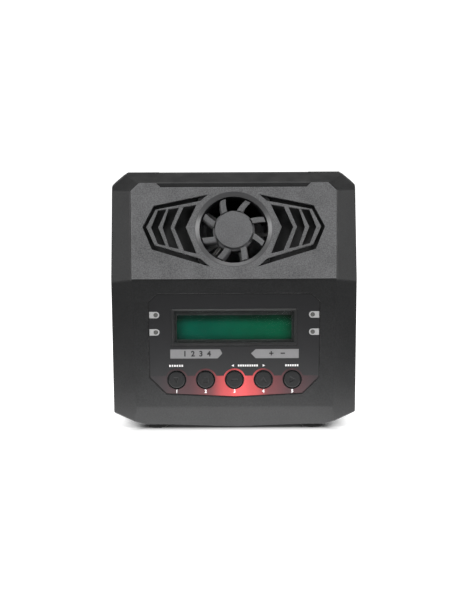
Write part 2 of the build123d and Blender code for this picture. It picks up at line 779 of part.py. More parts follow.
# ---- Fan ----
with BuildPart() as fan_frame:
    with BuildSketch(behind_fan_face(fan_frame_back)):
        RectangleRounded(FAN_SIZE, FAN_SIZE, 3)
        Circle(FAN_BORE, mode=Mode.SUBTRACT)
        with GridLocations(FAN_HOLE_PITCH, FAN_HOLE_PITCH, 2, 2):
            Circle(1.7, mode=Mode.SUBTRACT)
    extrude(amount=FAN_THICKNESS)
    with BuildSketch(behind_fan_face(fan_frame_back)):
        Circle(10.5)
        with PolarLocations((10 + FAN_BORE) / 2, STRUT_COUNT, STRUT_START):
            Rectangle(FAN_BORE - 10 + 0.8, 2.2)
    extrude(amount=1.0)
    with BuildSketch(behind_fan_face(fan_frame_back)):
        Circle(3.2)
    extrude(amount=6.8)
    with BuildSketch(behind_fan_face(fan_frame_back)):
        Circle(2.5)
    extrude(amount=8, mode=Mode.SUBTRACT)
finish(fan_frame, "fan_frame")

with BuildPart() as fan_bearing:
    with BuildSketch(behind_fan_face(fan_frame_back)):
        Circle(2.5)
        Circle(SHAFT_RADIUS + BEARING_CLEARANCE, mode=Mode.SUBTRACT)
    extrude(amount=6.6)
finish(fan_bearing, "fan_bearing")

with BuildPart() as fan_stator:
    with BuildSketch(behind_fan_face(fan_frame_back - 2.2)):
        Circle(4.4)
        with PolarLocations(5.6, 4):
            Rectangle(4.0, 3.0)
        with PolarLocations(7.4, 4):
            Rectangle(1.4, 7.0)
        Circle(8.4, mode=Mode.INTERSECT)
        Circle(3.2, mode=Mode.SUBTRACT)
    extrude(amount=3.6)
finish(fan_stator, "fan_stator")

with BuildPart() as fan_board:
    with BuildSketch(behind_fan_face(fan_frame_back - 1.0)):
        Circle(8.6)
        Circle(3.2, mode=Mode.SUBTRACT)
    extrude(amount=0.8)
finish(fan_board, "fan_board")


def blade_section(radius, angle, length):
    """Sketch plane across a blade at a radius, its x along the rotation."""
    turn = math.radians(angle)
    spoke = Vector(math.cos(turn), math.sin(turn), 0)
    lean = Vector(-math.sin(turn), math.cos(turn), 0)
    centre = behind_fan_face(BLADE_DEPTH).from_local_coords(spoke * radius)
    radial = (fan_axis.x_dir * spoke.X + fan_axis.y_dir * spoke.Y).normalized()
    tangent = (fan_axis.x_dir * lean.X + fan_axis.y_dir * lean.Y).normalized()
    with BuildSketch(Plane(origin=centre, x_dir=tangent, z_dir=radial)) as section:
        Rectangle(length, BLADE_THICKNESS, rotation=-BLADE_PITCH)
    return section.sketch


with BuildPart() as fan_rotor:
    with BuildSketch(behind_fan_face(HUB_DEPTH + HUB_LENGTH)):
        Circle(HUB_RADIUS)
    extrude(amount=HUB_LENGTH)
    chamfer(fan_rotor.faces().filter_by(lambda f: f.normal_at().dot(fan_face.z_dir) > 0.99).edges(), 0.7)
    for blade in range(BLADE_COUNT):
        angle = BLADE_START + blade * 360 / BLADE_COUNT
        root = blade_section(HUB_RADIUS - 0.6, angle + BLADE_SWEEP, 7.0)
        tip = blade_section(BLADE_TIP_RADIUS, angle - BLADE_SWEEP, 8.4)
        loft([root, tip])
    with BuildSketch(behind_fan_face(HUB_DEPTH + HUB_LENGTH)):
        Circle(HUB_RADIUS - 1.0)
    extrude(amount=HUB_LENGTH - 1.2, mode=Mode.SUBTRACT)
    with BuildSketch(behind_fan_face(HUB_DEPTH + 3.0)):
        Circle(2.4)
    extrude(amount=2.0)
    with BuildSketch(behind_fan_face(HUB_DEPTH + 3.0)):
        Circle(SHAFT_RADIUS)
    extrude(amount=2.2, mode=Mode.SUBTRACT)
finish(fan_rotor, "fan_rotor")

with BuildPart() as fan_magnet:
    with BuildSketch(behind_fan_face(HUB_DEPTH + HUB_LENGTH - 0.2)):
        Circle(HUB_RADIUS - 1.0)
        Circle(HUB_RADIUS - 2.1, mode=Mode.SUBTRACT)
    extrude(amount=5.0)
finish(fan_magnet, "fan_magnet")

with BuildPart() as fan_shaft:
    with BuildSketch(behind_fan_face(fan_frame_back - 0.4)):
        Circle(SHAFT_RADIUS)
    extrude(amount=fan_frame_back - 0.4 - HUB_DEPTH - 0.8)
finish(fan_shaft, "fan_shaft")

with BuildPart() as fan_screws:
    with BuildSketch(behind_fan_face(fan_frame_back)):
        with GridLocations(FAN_HOLE_PITCH, FAN_HOLE_PITCH, 2, 2):
            Circle(1.25)
    extrude(amount=FAN_THICKNESS + 1.2)
    with BuildSketch(behind_fan_face(fan_frame_back)):
        with GridLocations(FAN_HOLE_PITCH, FAN_HOLE_PITCH, 2, 2):
            Circle(2.5)
    extrude(amount=-1.6)
finish(fan_screws, "fan_screws")

# ---- Fan wires: off the fan's board, past its frame and down to the control board ----
with BuildPart() as fan_wires:
    for shift in (-0.8, 0.8):
        route = [
            on_fan_face(-5.6 + shift, FAN_S - 5.8, fan_frame_back - 2.4),
            on_fan_face(-11.5 + shift, FAN_S - 13.3, fan_frame_back - 2.4),
            on_fan_face(-12.4 + shift, FAN_S - 14.6, fan_frame_back + 4.0),
            (-12.4 + shift, CONTROL_BOARD_Y + BOARD + 3.0, 84.0),
            (-12.4 + shift, CONTROL_BOARD_Y + BOARD + 3.0, 71.0),
        ]
        with BuildLine() as wire_path:
            FilletPolyline(*route, radius=1.6)
        with BuildSketch(Plane(origin=wire_path.line @ 0, z_dir=wire_path.line % 0)):
            Circle(WIRE_RADIUS)
        sweep(path=wire_path.line)
finish(fan_wires, "fan_wires")

with BuildPart() as fan_connector:
    with BuildSketch(at_depth(CONTROL_BOARD_Y + BOARD)):
        with Locations((-12.4, 67.5)):
            Rectangle(7.5, 7.0)
    extrude(amount=-5.8)
finish(fan_connector, "fan_connector")

# ---- Supply board: the part that turns mains into low voltage ----
with BuildPart() as supply_board:
    with BuildSketch(at_depth(SUPPLY_BOARD_Y)):
        with Locations((0, 45)):
            RectangleRounded(96, 64, 2)
        with Locations(*standoff_places):
            Circle(1.6, mode=Mode.SUBTRACT)
    extrude(amount=-BOARD)
finish(supply_board, "supply_board")

with BuildPart() as board_standoffs:
    with BuildSketch(at_depth(MAIN_BOARD_Y)):
        with Locations(*standoff_places):
            RegularPolygon(2.8, 6)
    extrude(amount=MAIN_BOARD_Y - SUPPLY_BOARD_Y - BOARD)
    with BuildSketch(at_depth(SUPPLY_BOARD_Y + BOARD)):
        with Locations(*standoff_places):
            Circle(1.5)
    extrude(amount=BOARD)
    with BuildSketch(at_depth(SUPPLY_BOARD_Y)):
        with Locations(*standoff_places):
            Circle(2.6)
    extrude(amount=1.6)
finish(board_standoffs, "board_standoffs")

with BuildPart() as transformer_winding:
    with BuildSketch(at_depth(SUPPLY_BOARD_Y)):
        with Locations(TRANSFORMER):
            RectangleRounded(24, 19, 2)
            Rectangle(10, 9, mode=Mode.SUBTRACT)
    extrude(amount=14)
finish(transformer_winding, "transformer_winding")

with BuildPart() as transformer_core:
    with BuildSketch(at_depth(SUPPLY_BOARD_Y)):
        with Locations(TRANSFORMER):
            Rectangle(9.8, 8.8)
    extrude(amount=14)
    with BuildSketch(at_depth(SUPPLY_BOARD_Y - 14)):
        with Locations(TRANSFORMER):
            Rectangle(32, 12)
    extrude(amount=2.4)
    with BuildSketch(at_depth(SUPPLY_BOARD_Y)):
        with Locations(*[(TRANSFORMER[0] + step, TRANSFORMER[1]) for step in (-14.2, 14.2)]):
            Rectangle(3.6, 12)
    extrude(amount=14)
finish(transformer_core, "transformer_core")

with BuildPart() as bulk_capacitors:
    with BuildSketch(at_depth(SUPPLY_BOARD_Y)):
        with Locations((12, 60), (28, 60)):
            Circle(7.0)
    extrude(amount=16)
    chamfer(bulk_capacitors.faces().sort_by(Axis.Y)[:2].edges(), 0.5)
finish(bulk_capacitors, "bulk_capacitors")

with BuildPart() as mains_fuse:
    with BuildSketch(Plane.XY.offset(22)):
        with Locations((36, SUPPLY_BOARD_Y - 2.8)):
            Circle(2.6)
    extrude(amount=20)
finish(mains_fuse, "mains_fuse")

# ---- Main board: the four charging channels ----
with BuildPart() as main_board:
    with BuildSketch(at_depth(MAIN_BOARD_Y)):
        with Locations((0, 61)):
            RectangleRounded(100, 106, 2)
        with Locations(*main_board_places):
            Circle(1.2, mode=Mode.SUBTRACT)
    extrude(amount=-BOARD)
finish(main_board, "main_board")

with BuildPart() as board_screws:
    with BuildSketch(at_depth(MAIN_BOARD_Y)):
        with Locations(*main_board_places):
            Circle(2.2)
    extrude(amount=1.6)
    with BuildSketch(at_depth(MAIN_BOARD_Y + BOARD + 5)):
        with Locations(*main_board_places):
            Circle(1.0)
    extrude(amount=5 + BOARD)
    with BuildSketch(at_depth(CONTROL_BOARD_Y + BOARD)):
        with Locations(*control_boss_places):
            Circle(2.2)
    extrude(amount=-1.6)
    with BuildSketch(at_depth(CONTROL_BOARD_Y + BOARD)):
        with Locations(*control_boss_places):
            Circle(1.0)
    extrude(amount=BOARD + 4.5)
finish(board_screws, "board_screws")

with BuildPart() as inductors:
    with BuildSketch(at_depth(MAIN_BOARD_Y)):
        with Locations(*inductor_places):
            Circle(8.0)
            Circle(3.6, mode=Mode.SUBTRACT)
    extrude(amount=8.5)
    with BuildSketch(at_depth(SUPPLY_BOARD_Y)):
        with Locations((14, 32)):
            Circle(9.0)
            Circle(4.0, mode=Mode.SUBTRACT)
    extrude(amount=9)
finish(inductors, "inductors")

with BuildPart() as output_capacitors:
    with BuildSketch(at_depth(MAIN_BOARD_Y)):
        with Locations(*[(x, z) for x in (-31, 31) for z in (30, 42, 54)]):
            Circle(4.0)
    extrude(amount=12)
finish(output_capacitors, "output_capacitors")

with BuildPart() as heatsink:
    with BuildSketch(at_depth(HEATSINK_BACK_Y)):
        with Locations((0, 97)):
            Rectangle(88, 28)
    extrude(amount=3)
    with BuildSketch(at_depth(HEATSINK_BACK_Y - 3)):
        with Locations((0, 97)):
            with GridLocations(6.6, 0, 14, 1):
                Rectangle(1.4, 28)
    extrude(amount=11)
finish(heatsink, "heatsink")

with BuildPart() as power_transistors:
    with BuildSketch(at_depth(MAIN_BOARD_Y)):
        with Locations((0, 92)):
            with GridLocations(10.8, 0, 8, 1):
                Rectangle(9.6, 15)
    extrude(amount=MAIN_BOARD_Y - HEATSINK_BACK_Y)
finish(power_transistors, "power_transistors")

# ---- Sockets of the four channels ----
for number, (side, row) in enumerate([(-1, 0), (-1, 1), (1, 0), (1, 1)], start=1):
    with BuildPart() as balance_socket:
        with BuildSketch(side_plane(58.5, side)):
            with Locations(*socket_places(side, [CHANNEL_Z[row]])):
                Rectangle(BALANCE_LENGTH, BALANCE_HEIGHT)
        extrude(amount=SOCKET_FACE_X - 58.5)
        with BuildSketch(side_plane(SOCKET_FACE_X, side)):
            with Locations(*socket_places(side, [CHANNEL_Z[row]])):
                Rectangle(BALANCE_LENGTH - 1.6, BALANCE_HEIGHT - 1.6)
        extrude(amount=-BALANCE_CAVITY, mode=Mode.SUBTRACT)
    finish(balance_socket, f"balance_socket_{number}")
    with BuildPart() as output_socket:
        with BuildSketch(output_plane(51.0, side, output_rows[row])):
            cut_corner_rectangle(OUTPUT_LENGTH, OUTPUT_HEIGHT)
        extrude(amount=SOCKET_FACE_X - 51.0)
        with BuildSketch(side_plane(51.0, side)):
            with Locations(*contact_places(side, row)):
                Circle(CONTACT_RADIUS + 0.45)
        extrude(amount=SOCKET_FACE_X - 51.0, mode=Mode.SUBTRACT)
    finish(output_socket, f"output_socket_{number}")

with BuildPart() as balance_pins:
    for side in (-1, 1):
        for z in CHANNEL_Z:
            with BuildSketch(side_plane(SOCKET_FACE_X - BALANCE_CAVITY, side)):
                with Locations(*socket_places(side, [z])):
                    with GridLocations(PIN_PITCH, 0, BALANCE_PINS, 1):
                        Rectangle(0.64, 0.64)
            extrude(amount=BALANCE_CAVITY - 2)
finish(balance_pins, "balance_pins")

with BuildPart() as output_contacts:
    for side in (-1, 1):
        for row in (0, 1):
            with BuildSketch(side_plane(50.0, side)):
                with Locations(*contact_places(side, row)):
                    Circle(CONTACT_RADIUS + 0.45)
                    Circle(CONTACT_RADIUS, mode=Mode.SUBTRACT)
            extrude(amount=SOCKET_FACE_X - 52.0)
finish(output_contacts, "output_contacts")

# ---- Inlets: mains and low-voltage, facing up out of the recess ----
recess_floor = CASE_TOP - RECESS_DEPTH
with BuildPart() as mains_inlet:
    with BuildSketch(Plane.XY.offset(recess_floor)):
        with Locations((INLET_X, INLET_Y)):
            Rectangle(*INLET_BODY)
    extrude(amount=-INLET_LENGTH)
    with BuildSketch(Plane.XY.offset(recess_floor)):
        with Locations((INLET_X, INLET_Y)):
            RectangleRounded(INLET_BODY[0] + 4, INLET_BODY[1] + 3.2, 1.5)
    extrude(amount=1.2)
    with BuildSketch(Plane(origin=(INLET_X, INLET_Y, recess_floor + 1.2))):
        with BuildLine():
            Polyline(*mirrored_outline([(12.2, 8.2), (12.2, -4.0), (8.0, -8.2)]), close=True)
        make_face()
    extrude(amount=-17.7, mode=Mode.SUBTRACT)
finish(mains_inlet, "mains_inlet")

inlet_pin_places = [(INLET_X - 7, INLET_Y + 2), (INLET_X + 7, INLET_Y + 2), (INLET_X, INLET_Y - 2)]
with BuildPart() as inlet_pins:
    with BuildSketch(Plane.XY.offset(recess_floor - 16.5)):
        with Locations(*inlet_pin_places):
            Rectangle(2, 4)
    extrude(amount=14)
    with BuildSketch(Plane.XY.offset(recess_floor - 10.5)):
        with Locations((DC_SOCKET_X - 3.6, INLET_Y), (DC_SOCKET_X + 3.6, INLET_Y)):
            Circle(CONTACT_RADIUS)
    extrude(amount=10.5)
finish(inlet_pins, "inlet_pins")

with BuildPart() as dc_socket:
    with BuildSketch(Plane(origin=(DC_SOCKET_X, INLET_Y, recess_floor - 15))):
        cut_corner_rectangle(*DC_BODY)
    extrude(amount=16.5)
    with BuildSketch(Plane.XY.offset(recess_floor + 1.5)):
        with Locations((DC_SOCKET_X, INLET_Y)):
            RectangleRounded(DC_BODY[0] - 2.4, DC_BODY[1] - 2.4, 1.0)
    extrude(amount=-12, mode=Mode.SUBTRACT)
finish(dc_socket, "dc_socket")
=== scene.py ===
"""Looks of an upright balance battery charger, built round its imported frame.

Everything is in metres in the frame's own axes: +Z up, -Y out of the display, +X to the
user's right. Each sub-assembly is a class that makes its pieces and gives them their finish.
"""

import json
import logging
import math
from collections.abc import Callable, Sequence
from dataclasses import dataclass, field
from enum import Enum

import bmesh
import bpy
from bpy.types import ID, Curve, Material, Mesh, Node, NodeSocket, NodeTree, Object
from mathutils import Matrix, Vector

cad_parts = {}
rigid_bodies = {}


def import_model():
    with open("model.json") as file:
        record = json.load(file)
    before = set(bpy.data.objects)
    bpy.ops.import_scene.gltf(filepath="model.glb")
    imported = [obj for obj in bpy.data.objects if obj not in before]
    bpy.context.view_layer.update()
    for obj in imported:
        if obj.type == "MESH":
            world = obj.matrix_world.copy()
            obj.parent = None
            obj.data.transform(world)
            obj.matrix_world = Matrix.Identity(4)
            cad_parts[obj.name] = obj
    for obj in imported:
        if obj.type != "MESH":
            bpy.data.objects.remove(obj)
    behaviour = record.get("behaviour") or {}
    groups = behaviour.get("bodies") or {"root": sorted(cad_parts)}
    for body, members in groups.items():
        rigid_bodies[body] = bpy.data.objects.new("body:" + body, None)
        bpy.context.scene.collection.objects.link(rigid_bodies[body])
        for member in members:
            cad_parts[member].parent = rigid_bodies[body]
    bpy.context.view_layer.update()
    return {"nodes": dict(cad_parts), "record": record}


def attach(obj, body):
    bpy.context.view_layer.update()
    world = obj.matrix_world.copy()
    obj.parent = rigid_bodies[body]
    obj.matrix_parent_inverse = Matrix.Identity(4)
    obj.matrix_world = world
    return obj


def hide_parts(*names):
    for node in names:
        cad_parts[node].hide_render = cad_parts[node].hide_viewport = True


LOG = logging.getLogger("charger")
MM = 0.001

Point2 = tuple[float, float]
Colour = tuple[float, float, float]
Profile = Sequence[Point2]

# ---- Shared places, in millimetres ----
FRONT_Y = -32.7
RIDGE_Z = 84.4
FACE_LEAN = math.radians(22.0)
FAN_HEIGHT = 29.7
LABEL_SKIN = 0.10
BUTTON_Z = 28.0
BUTTON_PITCH = 16.25
BUTTON_BODIES = ("key_select", "key_stop", "key_lower", "key_raise", "key_start")
INK = 0.03


class Body(Enum):
    """Moving bodies of the frame that pieces ride on."""

    CHARGER = "charger"
    ROTOR = "rotor"


# ---- Node trees ----


@dataclass(frozen=True)
class Graph:
    """Short ways to add and join the nodes of one tree."""

    tree: NodeTree

    def add(self, kind: str, **values: object) -> Node:
        """Add a node and set what is named.

        Args:
            kind: The node's type.
            **values: Properties, or inputs with spaces written as underscores.

        Returns:
            The new node.
        """
        node = self.tree.nodes.new(kind)
        for key, value in values.items():
            if hasattr(node, key) and key not in node.inputs:
                setattr(node, key, value)
            else:
                self.feed(node.inputs[key.replace("_", " ")], value)
        return node

    def feed(self, socket: NodeSocket, value: object) -> None:
        """Join a socket to another one, or set its own value."""
        if isinstance(value, NodeSocket):
            self.tree.links.new(value, socket)
        else:
            socket.default_value = value

    def math(self, operation: str, *values: object) -> NodeSocket:
        """Add a Math node.

        Args:
            operation: The operation's name.
            *values: Its inputs in order, sockets or numbers.

        Returns:
            The result socket.
        """
        node = self.add("ShaderNodeMath", operation=operation)
        for socket, value in zip(node.inputs, values):
            self.feed(socket, value)
        return node.outputs[0]

    def minus(self, first: object, second: object) -> NodeSocket:
        """Subtract one value from another."""
        return self.math("SUBTRACT", first, second)

    def times(self, *values: object) -> NodeSocket:
        """Multiply two or more values."""
        result = values[0]
        for value in values[1:]:
            result = self.math("MULTIPLY", result, value)
        return result

    def around(self, value: object, middle: float, swing: float) -> NodeSocket:
        """Move a value between nought and one to a range round a middle."""
        return self.math("MULTIPLY_ADD", value, swing, middle - swing / 2.0)

    def length(self, vector: NodeSocket) -> NodeSocket:
        """Length of a vector."""
        return self.add("ShaderNodeVectorMath", operation="LENGTH", Vector=vector).outputs["Value"]

    def dot(self, first: object, second: object) -> NodeSocket:
        """Dot product of two vectors."""
        node = self.add("ShaderNodeVectorMath", operation="DOT_PRODUCT")
        for socket, value in zip(node.inputs, (first, second)):
            self.feed(socket, value)
        return node.outputs["Value"]

    def spread(self, value: object, low: float, high: float, to: Point2 = (0.0, 1.0)) -> NodeSocket:
        """Map a value smoothly from one range to another.

        Args:
            value: The socket to map.
            low: Where the input range starts.
            high: Where the input range ends.
            to: The output range.

        Returns:
            The mapped value.
        """
        node = self.add("ShaderNodeMapRange", interpolation_type="SMOOTHSTEP")
        for socket, item in zip(node.inputs, (value, low, high, *to)):
            self.feed(socket, item)
        return node.outputs[0]

    def blend(self, factor: object, first: object, second: object, how: str = "MIX") -> NodeSocket:
        """Mix two colours.

        Args:
            factor: Share of the second colour.
            first: First colour or socket.
            second: Second colour or socket.
            how: The blend type.

        Returns:
            The mixed colour.
        """
        node = self.add("ShaderNodeMix", data_type="RGBA", blend_type=how)
        self.feed(node.inputs[0], factor)
        for socket, value in zip(node.inputs[6:8], (first, second)):
            self.feed(socket, (*value, 1.0) if isinstance(value, tuple) else value)
        return node.outputs[2]

    def tinted(self, colour: object, shade: object) -> NodeSocket:
        """Multiply a colour by another colour or by a shade."""
        return self.blend(1.0, colour, shade, "MULTIPLY")

    def place(self) -> tuple[NodeSocket, NodeSocket, NodeSocket, NodeSocket]:
        """Object coordinates as a vector and as x, y and z, in metres."""
        where = self.add("ShaderNodeTexCoord").outputs["Object"]
        return (where, *self.add("ShaderNodeSeparateXYZ", Vector=where).outputs)

    def noise(self, vector: NodeSocket, size_mm: float, detail: float = 2.0) -> NodeSocket:
        """Noise whose blotches are about the given size.

        Args:
            vector: Coordinates in metres.
            size_mm: Size of a blotch.
            detail: Finer layers on top.

        Returns:
            The noise value, around one half.
        """
        scale = 1.0 / (size_mm * MM)
        return self.add("ShaderNodeTexNoise", Vector=vector, Scale=scale, Detail=detail).outputs["Fac"]


def shader_group(name: str, inputs: dict[str, float], outputs: dict[str, str]) -> tuple[Graph, Node, Node]:
    """Start a shader node group with named sockets.

    Args:
        name: The group's name.
        inputs: Input names and their default values.
        outputs: Output names and their socket types.

    Returns:
        The graph, the group's input node and its output node.
    """
    tree = bpy.data.node_groups.new(name, "ShaderNodeTree")
    for label, value in inputs.items():
        socket = tree.interface.new_socket(label, in_out="INPUT", socket_type="NodeSocketFloat")
        socket.default_value = value
    for label, kind in outputs.items():
        tree.interface.new_socket(label, in_out="OUTPUT", socket_type=kind)
    return Graph(tree), tree.nodes.new("NodeGroupInput"), tree.nodes.new("NodeGroupOutput")


def grain_group() -> NodeTree:
    """Spark-eroded grain: a shade that varies around one, and a height.

    Returns:
        The node group.
    """
    graph, given, out = shader_group(
        "moulded_grain",
        {"Size": 0.6, "Fleck": 0.1},
        {"Shade": "NodeSocketFloat", "Height": "NodeSocketFloat"},
    )
    where = graph.place()[0]
    frequency = graph.math("DIVIDE", 1.0 / MM, given.outputs["Size"])
    fine = graph.add("ShaderNodeTexNoise", Vector=where, Scale=frequency, Detail=2.0)
    coarse = graph.add(
        "ShaderNodeTexNoise", Vector=where, Scale=graph.times(frequency, 0.04), Detail=1.0
    )
    fleck = graph.spread(fine.outputs["Fac"], 0.3, 0.7, (-1.0, 1.0))
    cloud = graph.spread(coarse.outputs["Fac"], 0.3, 0.7, (-0.35, 0.35))
    swing = graph.times(graph.math("ADD", fleck, cloud), given.outputs["Fleck"])
    graph.feed(out.inputs["Shade"], graph.math("ADD", 1.0, swing))
    graph.feed(out.inputs["Height"], fine.outputs["Fac"])
    return graph.tree


def edge_group() -> NodeTree:
    """Rubbed edges: a mask along outer edges, and a softened normal.

    Returns:
        The node group.
    """
    graph, given, out = shader_group(
        "rubbed_edges",
        {"Radius": 0.4, "Amount": 0.5},
        {"Mask": "NodeSocketFloat", "Normal": "NodeSocketVector"},
    )
    soft = graph.tree.nodes.new("ShaderNodeBevel")
    soft.samples = 6
    graph.feed(soft.inputs["Radius"], graph.times(given.outputs["Radius"], MM))
    true = graph.add("ShaderNodeNewGeometry").outputs["Normal"]
    turn = graph.spread(graph.dot(soft.outputs[0], true), 0.995, 0.93)
    breakup = graph.spread(graph.noise(graph.place()[0], 2.4, 3.0), 0.35, 0.65)
    graph.feed(out.inputs["Mask"], graph.times(turn, breakup, given.outputs["Amount"]))
    graph.feed(out.inputs["Normal"], soft.outputs[0])
    return graph.tree


def dust_group() -> NodeTree:
    """Fine dust that lies on faces that look up.

    Returns:
        The node group.
    """
    graph, given, out = shader_group("settled_dust", {"Amount": 0.1}, {"Mask": "NodeSocketFloat"})
    face = graph.add("ShaderNodeNewGeometry")
    parts = graph.add("ShaderNodeSeparateXYZ", Vector=face.outputs["Normal"])
    upward = graph.spread(parts.outputs["Z"], 0.2, 1.0)
    patches = graph.spread(graph.noise(graph.place()[0], 9.0, 5.0), 0.3, 0.8)
    graph.feed(out.inputs["Mask"], graph.times(upward, patches, given.outputs["Amount"]))
    return graph.tree


class Effects:
    """Shared shader effects, each group made once and placed with its own values."""

    makers: dict[str, Callable[[], NodeTree]] = {
        "moulded_grain": grain_group,
        "rubbed_edges": edge_group,
        "settled_dust": dust_group,
    }

    @classmethod
    def place(cls, graph: Graph, name: str, **values: float) -> Node:
        """Place an effect in a material.

        Args:
            graph: The material's graph.
            name: The effect's name.
            **values: Values of the effect's inputs.

        Returns:
            The group node.
        """
        tree = bpy.data.node_groups.get(name) or cls.makers[name]()
        node = graph.tree.nodes.new("ShaderNodeGroup")
        node.node_tree = tree
        for key, value in values.items():
            node.inputs[key].default_value = value
        return node


# ---- Finishes ----

PURE_WHITE = (1.0, 1.0, 1.0)
DUST_TONE = (0.5, 0.49, 0.47)


def bump(graph: Graph, height: NodeSocket, depth_mm: float, under: NodeSocket | None = None) -> NodeSocket:
    """Turn a height into a normal.

    Args:
        graph: The material's graph.
        height: The height, in units of the depth.
        depth_mm: The depth.
        under: Normal to start from, if not the surface's own.

    Returns:
        The bumped normal.
    """
    node = graph.add("ShaderNodeBump", Height=height, Distance=depth_mm * MM, Strength=1.0)
    if under is not None:
        graph.feed(node.inputs["Normal"], under)
    return node.outputs[0]


def scaled(colour: Colour, share: float) -> Colour:
    """A colour made darker or paler, no channel past one."""
    return tuple(min(1.0, share * channel) for channel in colour)


@dataclass(frozen=True)
class Finish:
    """A named finish; each kind says what it feeds to its one Principled shader."""

    name: str

    def inputs(self, graph: Graph) -> dict[str, object]:
        """Sockets and constants for the shader's inputs."""
        raise NotImplementedError

    def build(self) -> Material:
        """Make the material."""
        material = bpy.data.materials.new(self.name)
        material.use_nodes = True
        graph = Graph(material.node_tree)
        shader = graph.tree.nodes["Principled BSDF"]
        for label, value in self.inputs(graph).items():
            graph.feed(shader.inputs[label], value)
        return material


@dataclass(frozen=True)
class Moulded(Finish):
    """Moulded plastic or rubber with a fine grain, rubbed edges and a little dust."""

    colour: Colour
    roughness: float = 0.5
    grain: float = 0.6
    depth: float = 0.02
    fleck: float = 0.12
    wear: float = 0.3
    worn: Colour = (0.16, 0.16, 0.165)
    edge: float = 0.35
    dust: float = 0.04
    specular: float = 0.5
    gloss_swing: float = 0.16

    def inputs(self, graph: Graph) -> dict[str, object]:
        """Flecked colour, paler at rubbed edges and where dust lies, over a grainy relief."""
        grain = Effects.place(graph, "moulded_grain", Size=self.grain, Fleck=self.fleck).outputs
        edges = Effects.place(graph, "rubbed_edges", Radius=self.edge, Amount=self.wear).outputs
        dust = Effects.place(graph, "settled_dust", Amount=self.dust).outputs
        rubbed = graph.blend(edges["Mask"], graph.tinted(self.colour, grain["Shade"]), self.worn)
        return {
            "Base Color": graph.blend(dust["Mask"], rubbed, DUST_TONE),
            "Roughness": graph.around(grain["Height"], self.roughness, self.gloss_swing),
            "Normal": bump(graph, grain["Height"], self.depth, edges["Normal"]),
            "Specular IOR Level": self.specular,
        }


@dataclass(frozen=True)
class RingedPanel(Moulded):
    """Flecked panel plastic whose fan ring is smoother, and darker as painted shade."""

    ring_to: float = 22.0
    ring_blend: float = 0.15
    # painted shade: the ring gets a darker colour than the panel, standing in for the shade in the fan ring
    ring_painted_shade: Colour = (0.09, 0.09, 0.092)
    ring_roughness: float = 0.3

    def inputs(self, graph: Graph) -> dict[str, object]:
        """The panel's finish, with the ring's smoother gloss and painted shade laid over it."""
        made = super().inputs(graph)
        _, x, y, z = graph.place()
        along = graph.times(graph.minus(z, RIDGE_Z * MM), math.cos(FACE_LEAN))
        across = graph.times(graph.minus(y, FRONT_Y * MM), math.sin(FACE_LEAN))
        rise = graph.minus(graph.math("ADD", along, across), FAN_HEIGHT * MM)
        spot = graph.add("ShaderNodeCombineXYZ", X=x, Y=rise)
        away = graph.length(spot.outputs[0])
        mask = graph.spread(away, self.ring_to * MM, (self.ring_to - self.ring_blend) * MM)
        change = graph.times(graph.minus(self.ring_roughness, made["Roughness"]), mask)
        made["Roughness"] = graph.math("ADD", made["Roughness"], change)
        # painted shade: the ring's darker colour
        made["Base Color"] = graph.blend(mask, made["Base Color"], self.ring_painted_shade)
        return made


class Cut(Enum):
    """How a metal surface was finished: how its tool marks stretch."""

    DRAWN = (1.0, 1.0, 0.05)
    TURNED = (1.0, 0.2, 1.0)
    PLATED = (1.0, 1.0, 1.0)


@dataclass(frozen=True)
class Metal(Finish):
    """Bare or plated metal with its tool marks."""

    colour: Colour
    roughness: float = 0.3
    cut: Cut = Cut.PLATED
    tarnish: float = 0.72

    def inputs(self, graph: Graph) -> dict[str, object]:
        """Tarnished colour and marked gloss."""
        where = graph.place()[0]
        lines = graph.add("ShaderNodeMapping", Vector=where, Scale=self.cut.value)
        marks = graph.noise(lines.outputs[0], 0.35, 3.0)
        dull = graph.spread(graph.noise(where, 5.0, 4.0), 0.35, 0.75)
        return {
            "Base Color": graph.blend(dull, self.colour, scaled(self.colour, self.tarnish)),
            "Roughness": graph.math("MULTIPLY_ADD", marks, 0.3, self.roughness - 0.1),
            "Normal": bump(graph, marks, 0.01),
            "Metallic": 1.0,
        }


@dataclass(frozen=True)
class Board(Finish):
    """Circuit board: lacquer over copper tracks."""

    lacquer: Colour
    track: Colour
    track_pitch: Point2 = (6.1, 1.7)
    gap: float = 0.2

    def inputs(self, graph: Graph) -> dict[str, object]:
        """Clouded lacquer with raised tracks."""
        where, x, _, z = graph.place()
        black, white = (0.0, 0.0, 0.0, 1.0), (*PURE_WHITE, 1.0)
        cells = graph.add(
            "ShaderNodeTexBrick",
            Vector=graph.add("ShaderNodeCombineXYZ", X=x, Y=z).outputs[0],
            Scale=1.0,
            Mortar_Size=self.gap * MM,
            Brick_Width=self.track_pitch[0] * MM,
            Row_Height=self.track_pitch[1] * MM,
            Color1=black,
            Color2=white,
            Mortar=black,
        )
        tracks = graph.times(graph.spread(cells.outputs["Color"], 0.55, 0.62), 0.6)
        clouds = graph.spread(graph.noise(where, 8.0), 0.3, 0.7, (0.85, 1.15))
        return {
            "Base Color": graph.blend(tracks, graph.tinted(self.lacquer, clouds), self.track),
            "Roughness": graph.math("MULTIPLY_ADD", tracks, 0.15, 0.35),
            "Normal": bump(graph, tracks, 0.03),
            "Coat Weight": 0.4,
            "Coat Roughness": 0.2,
        }


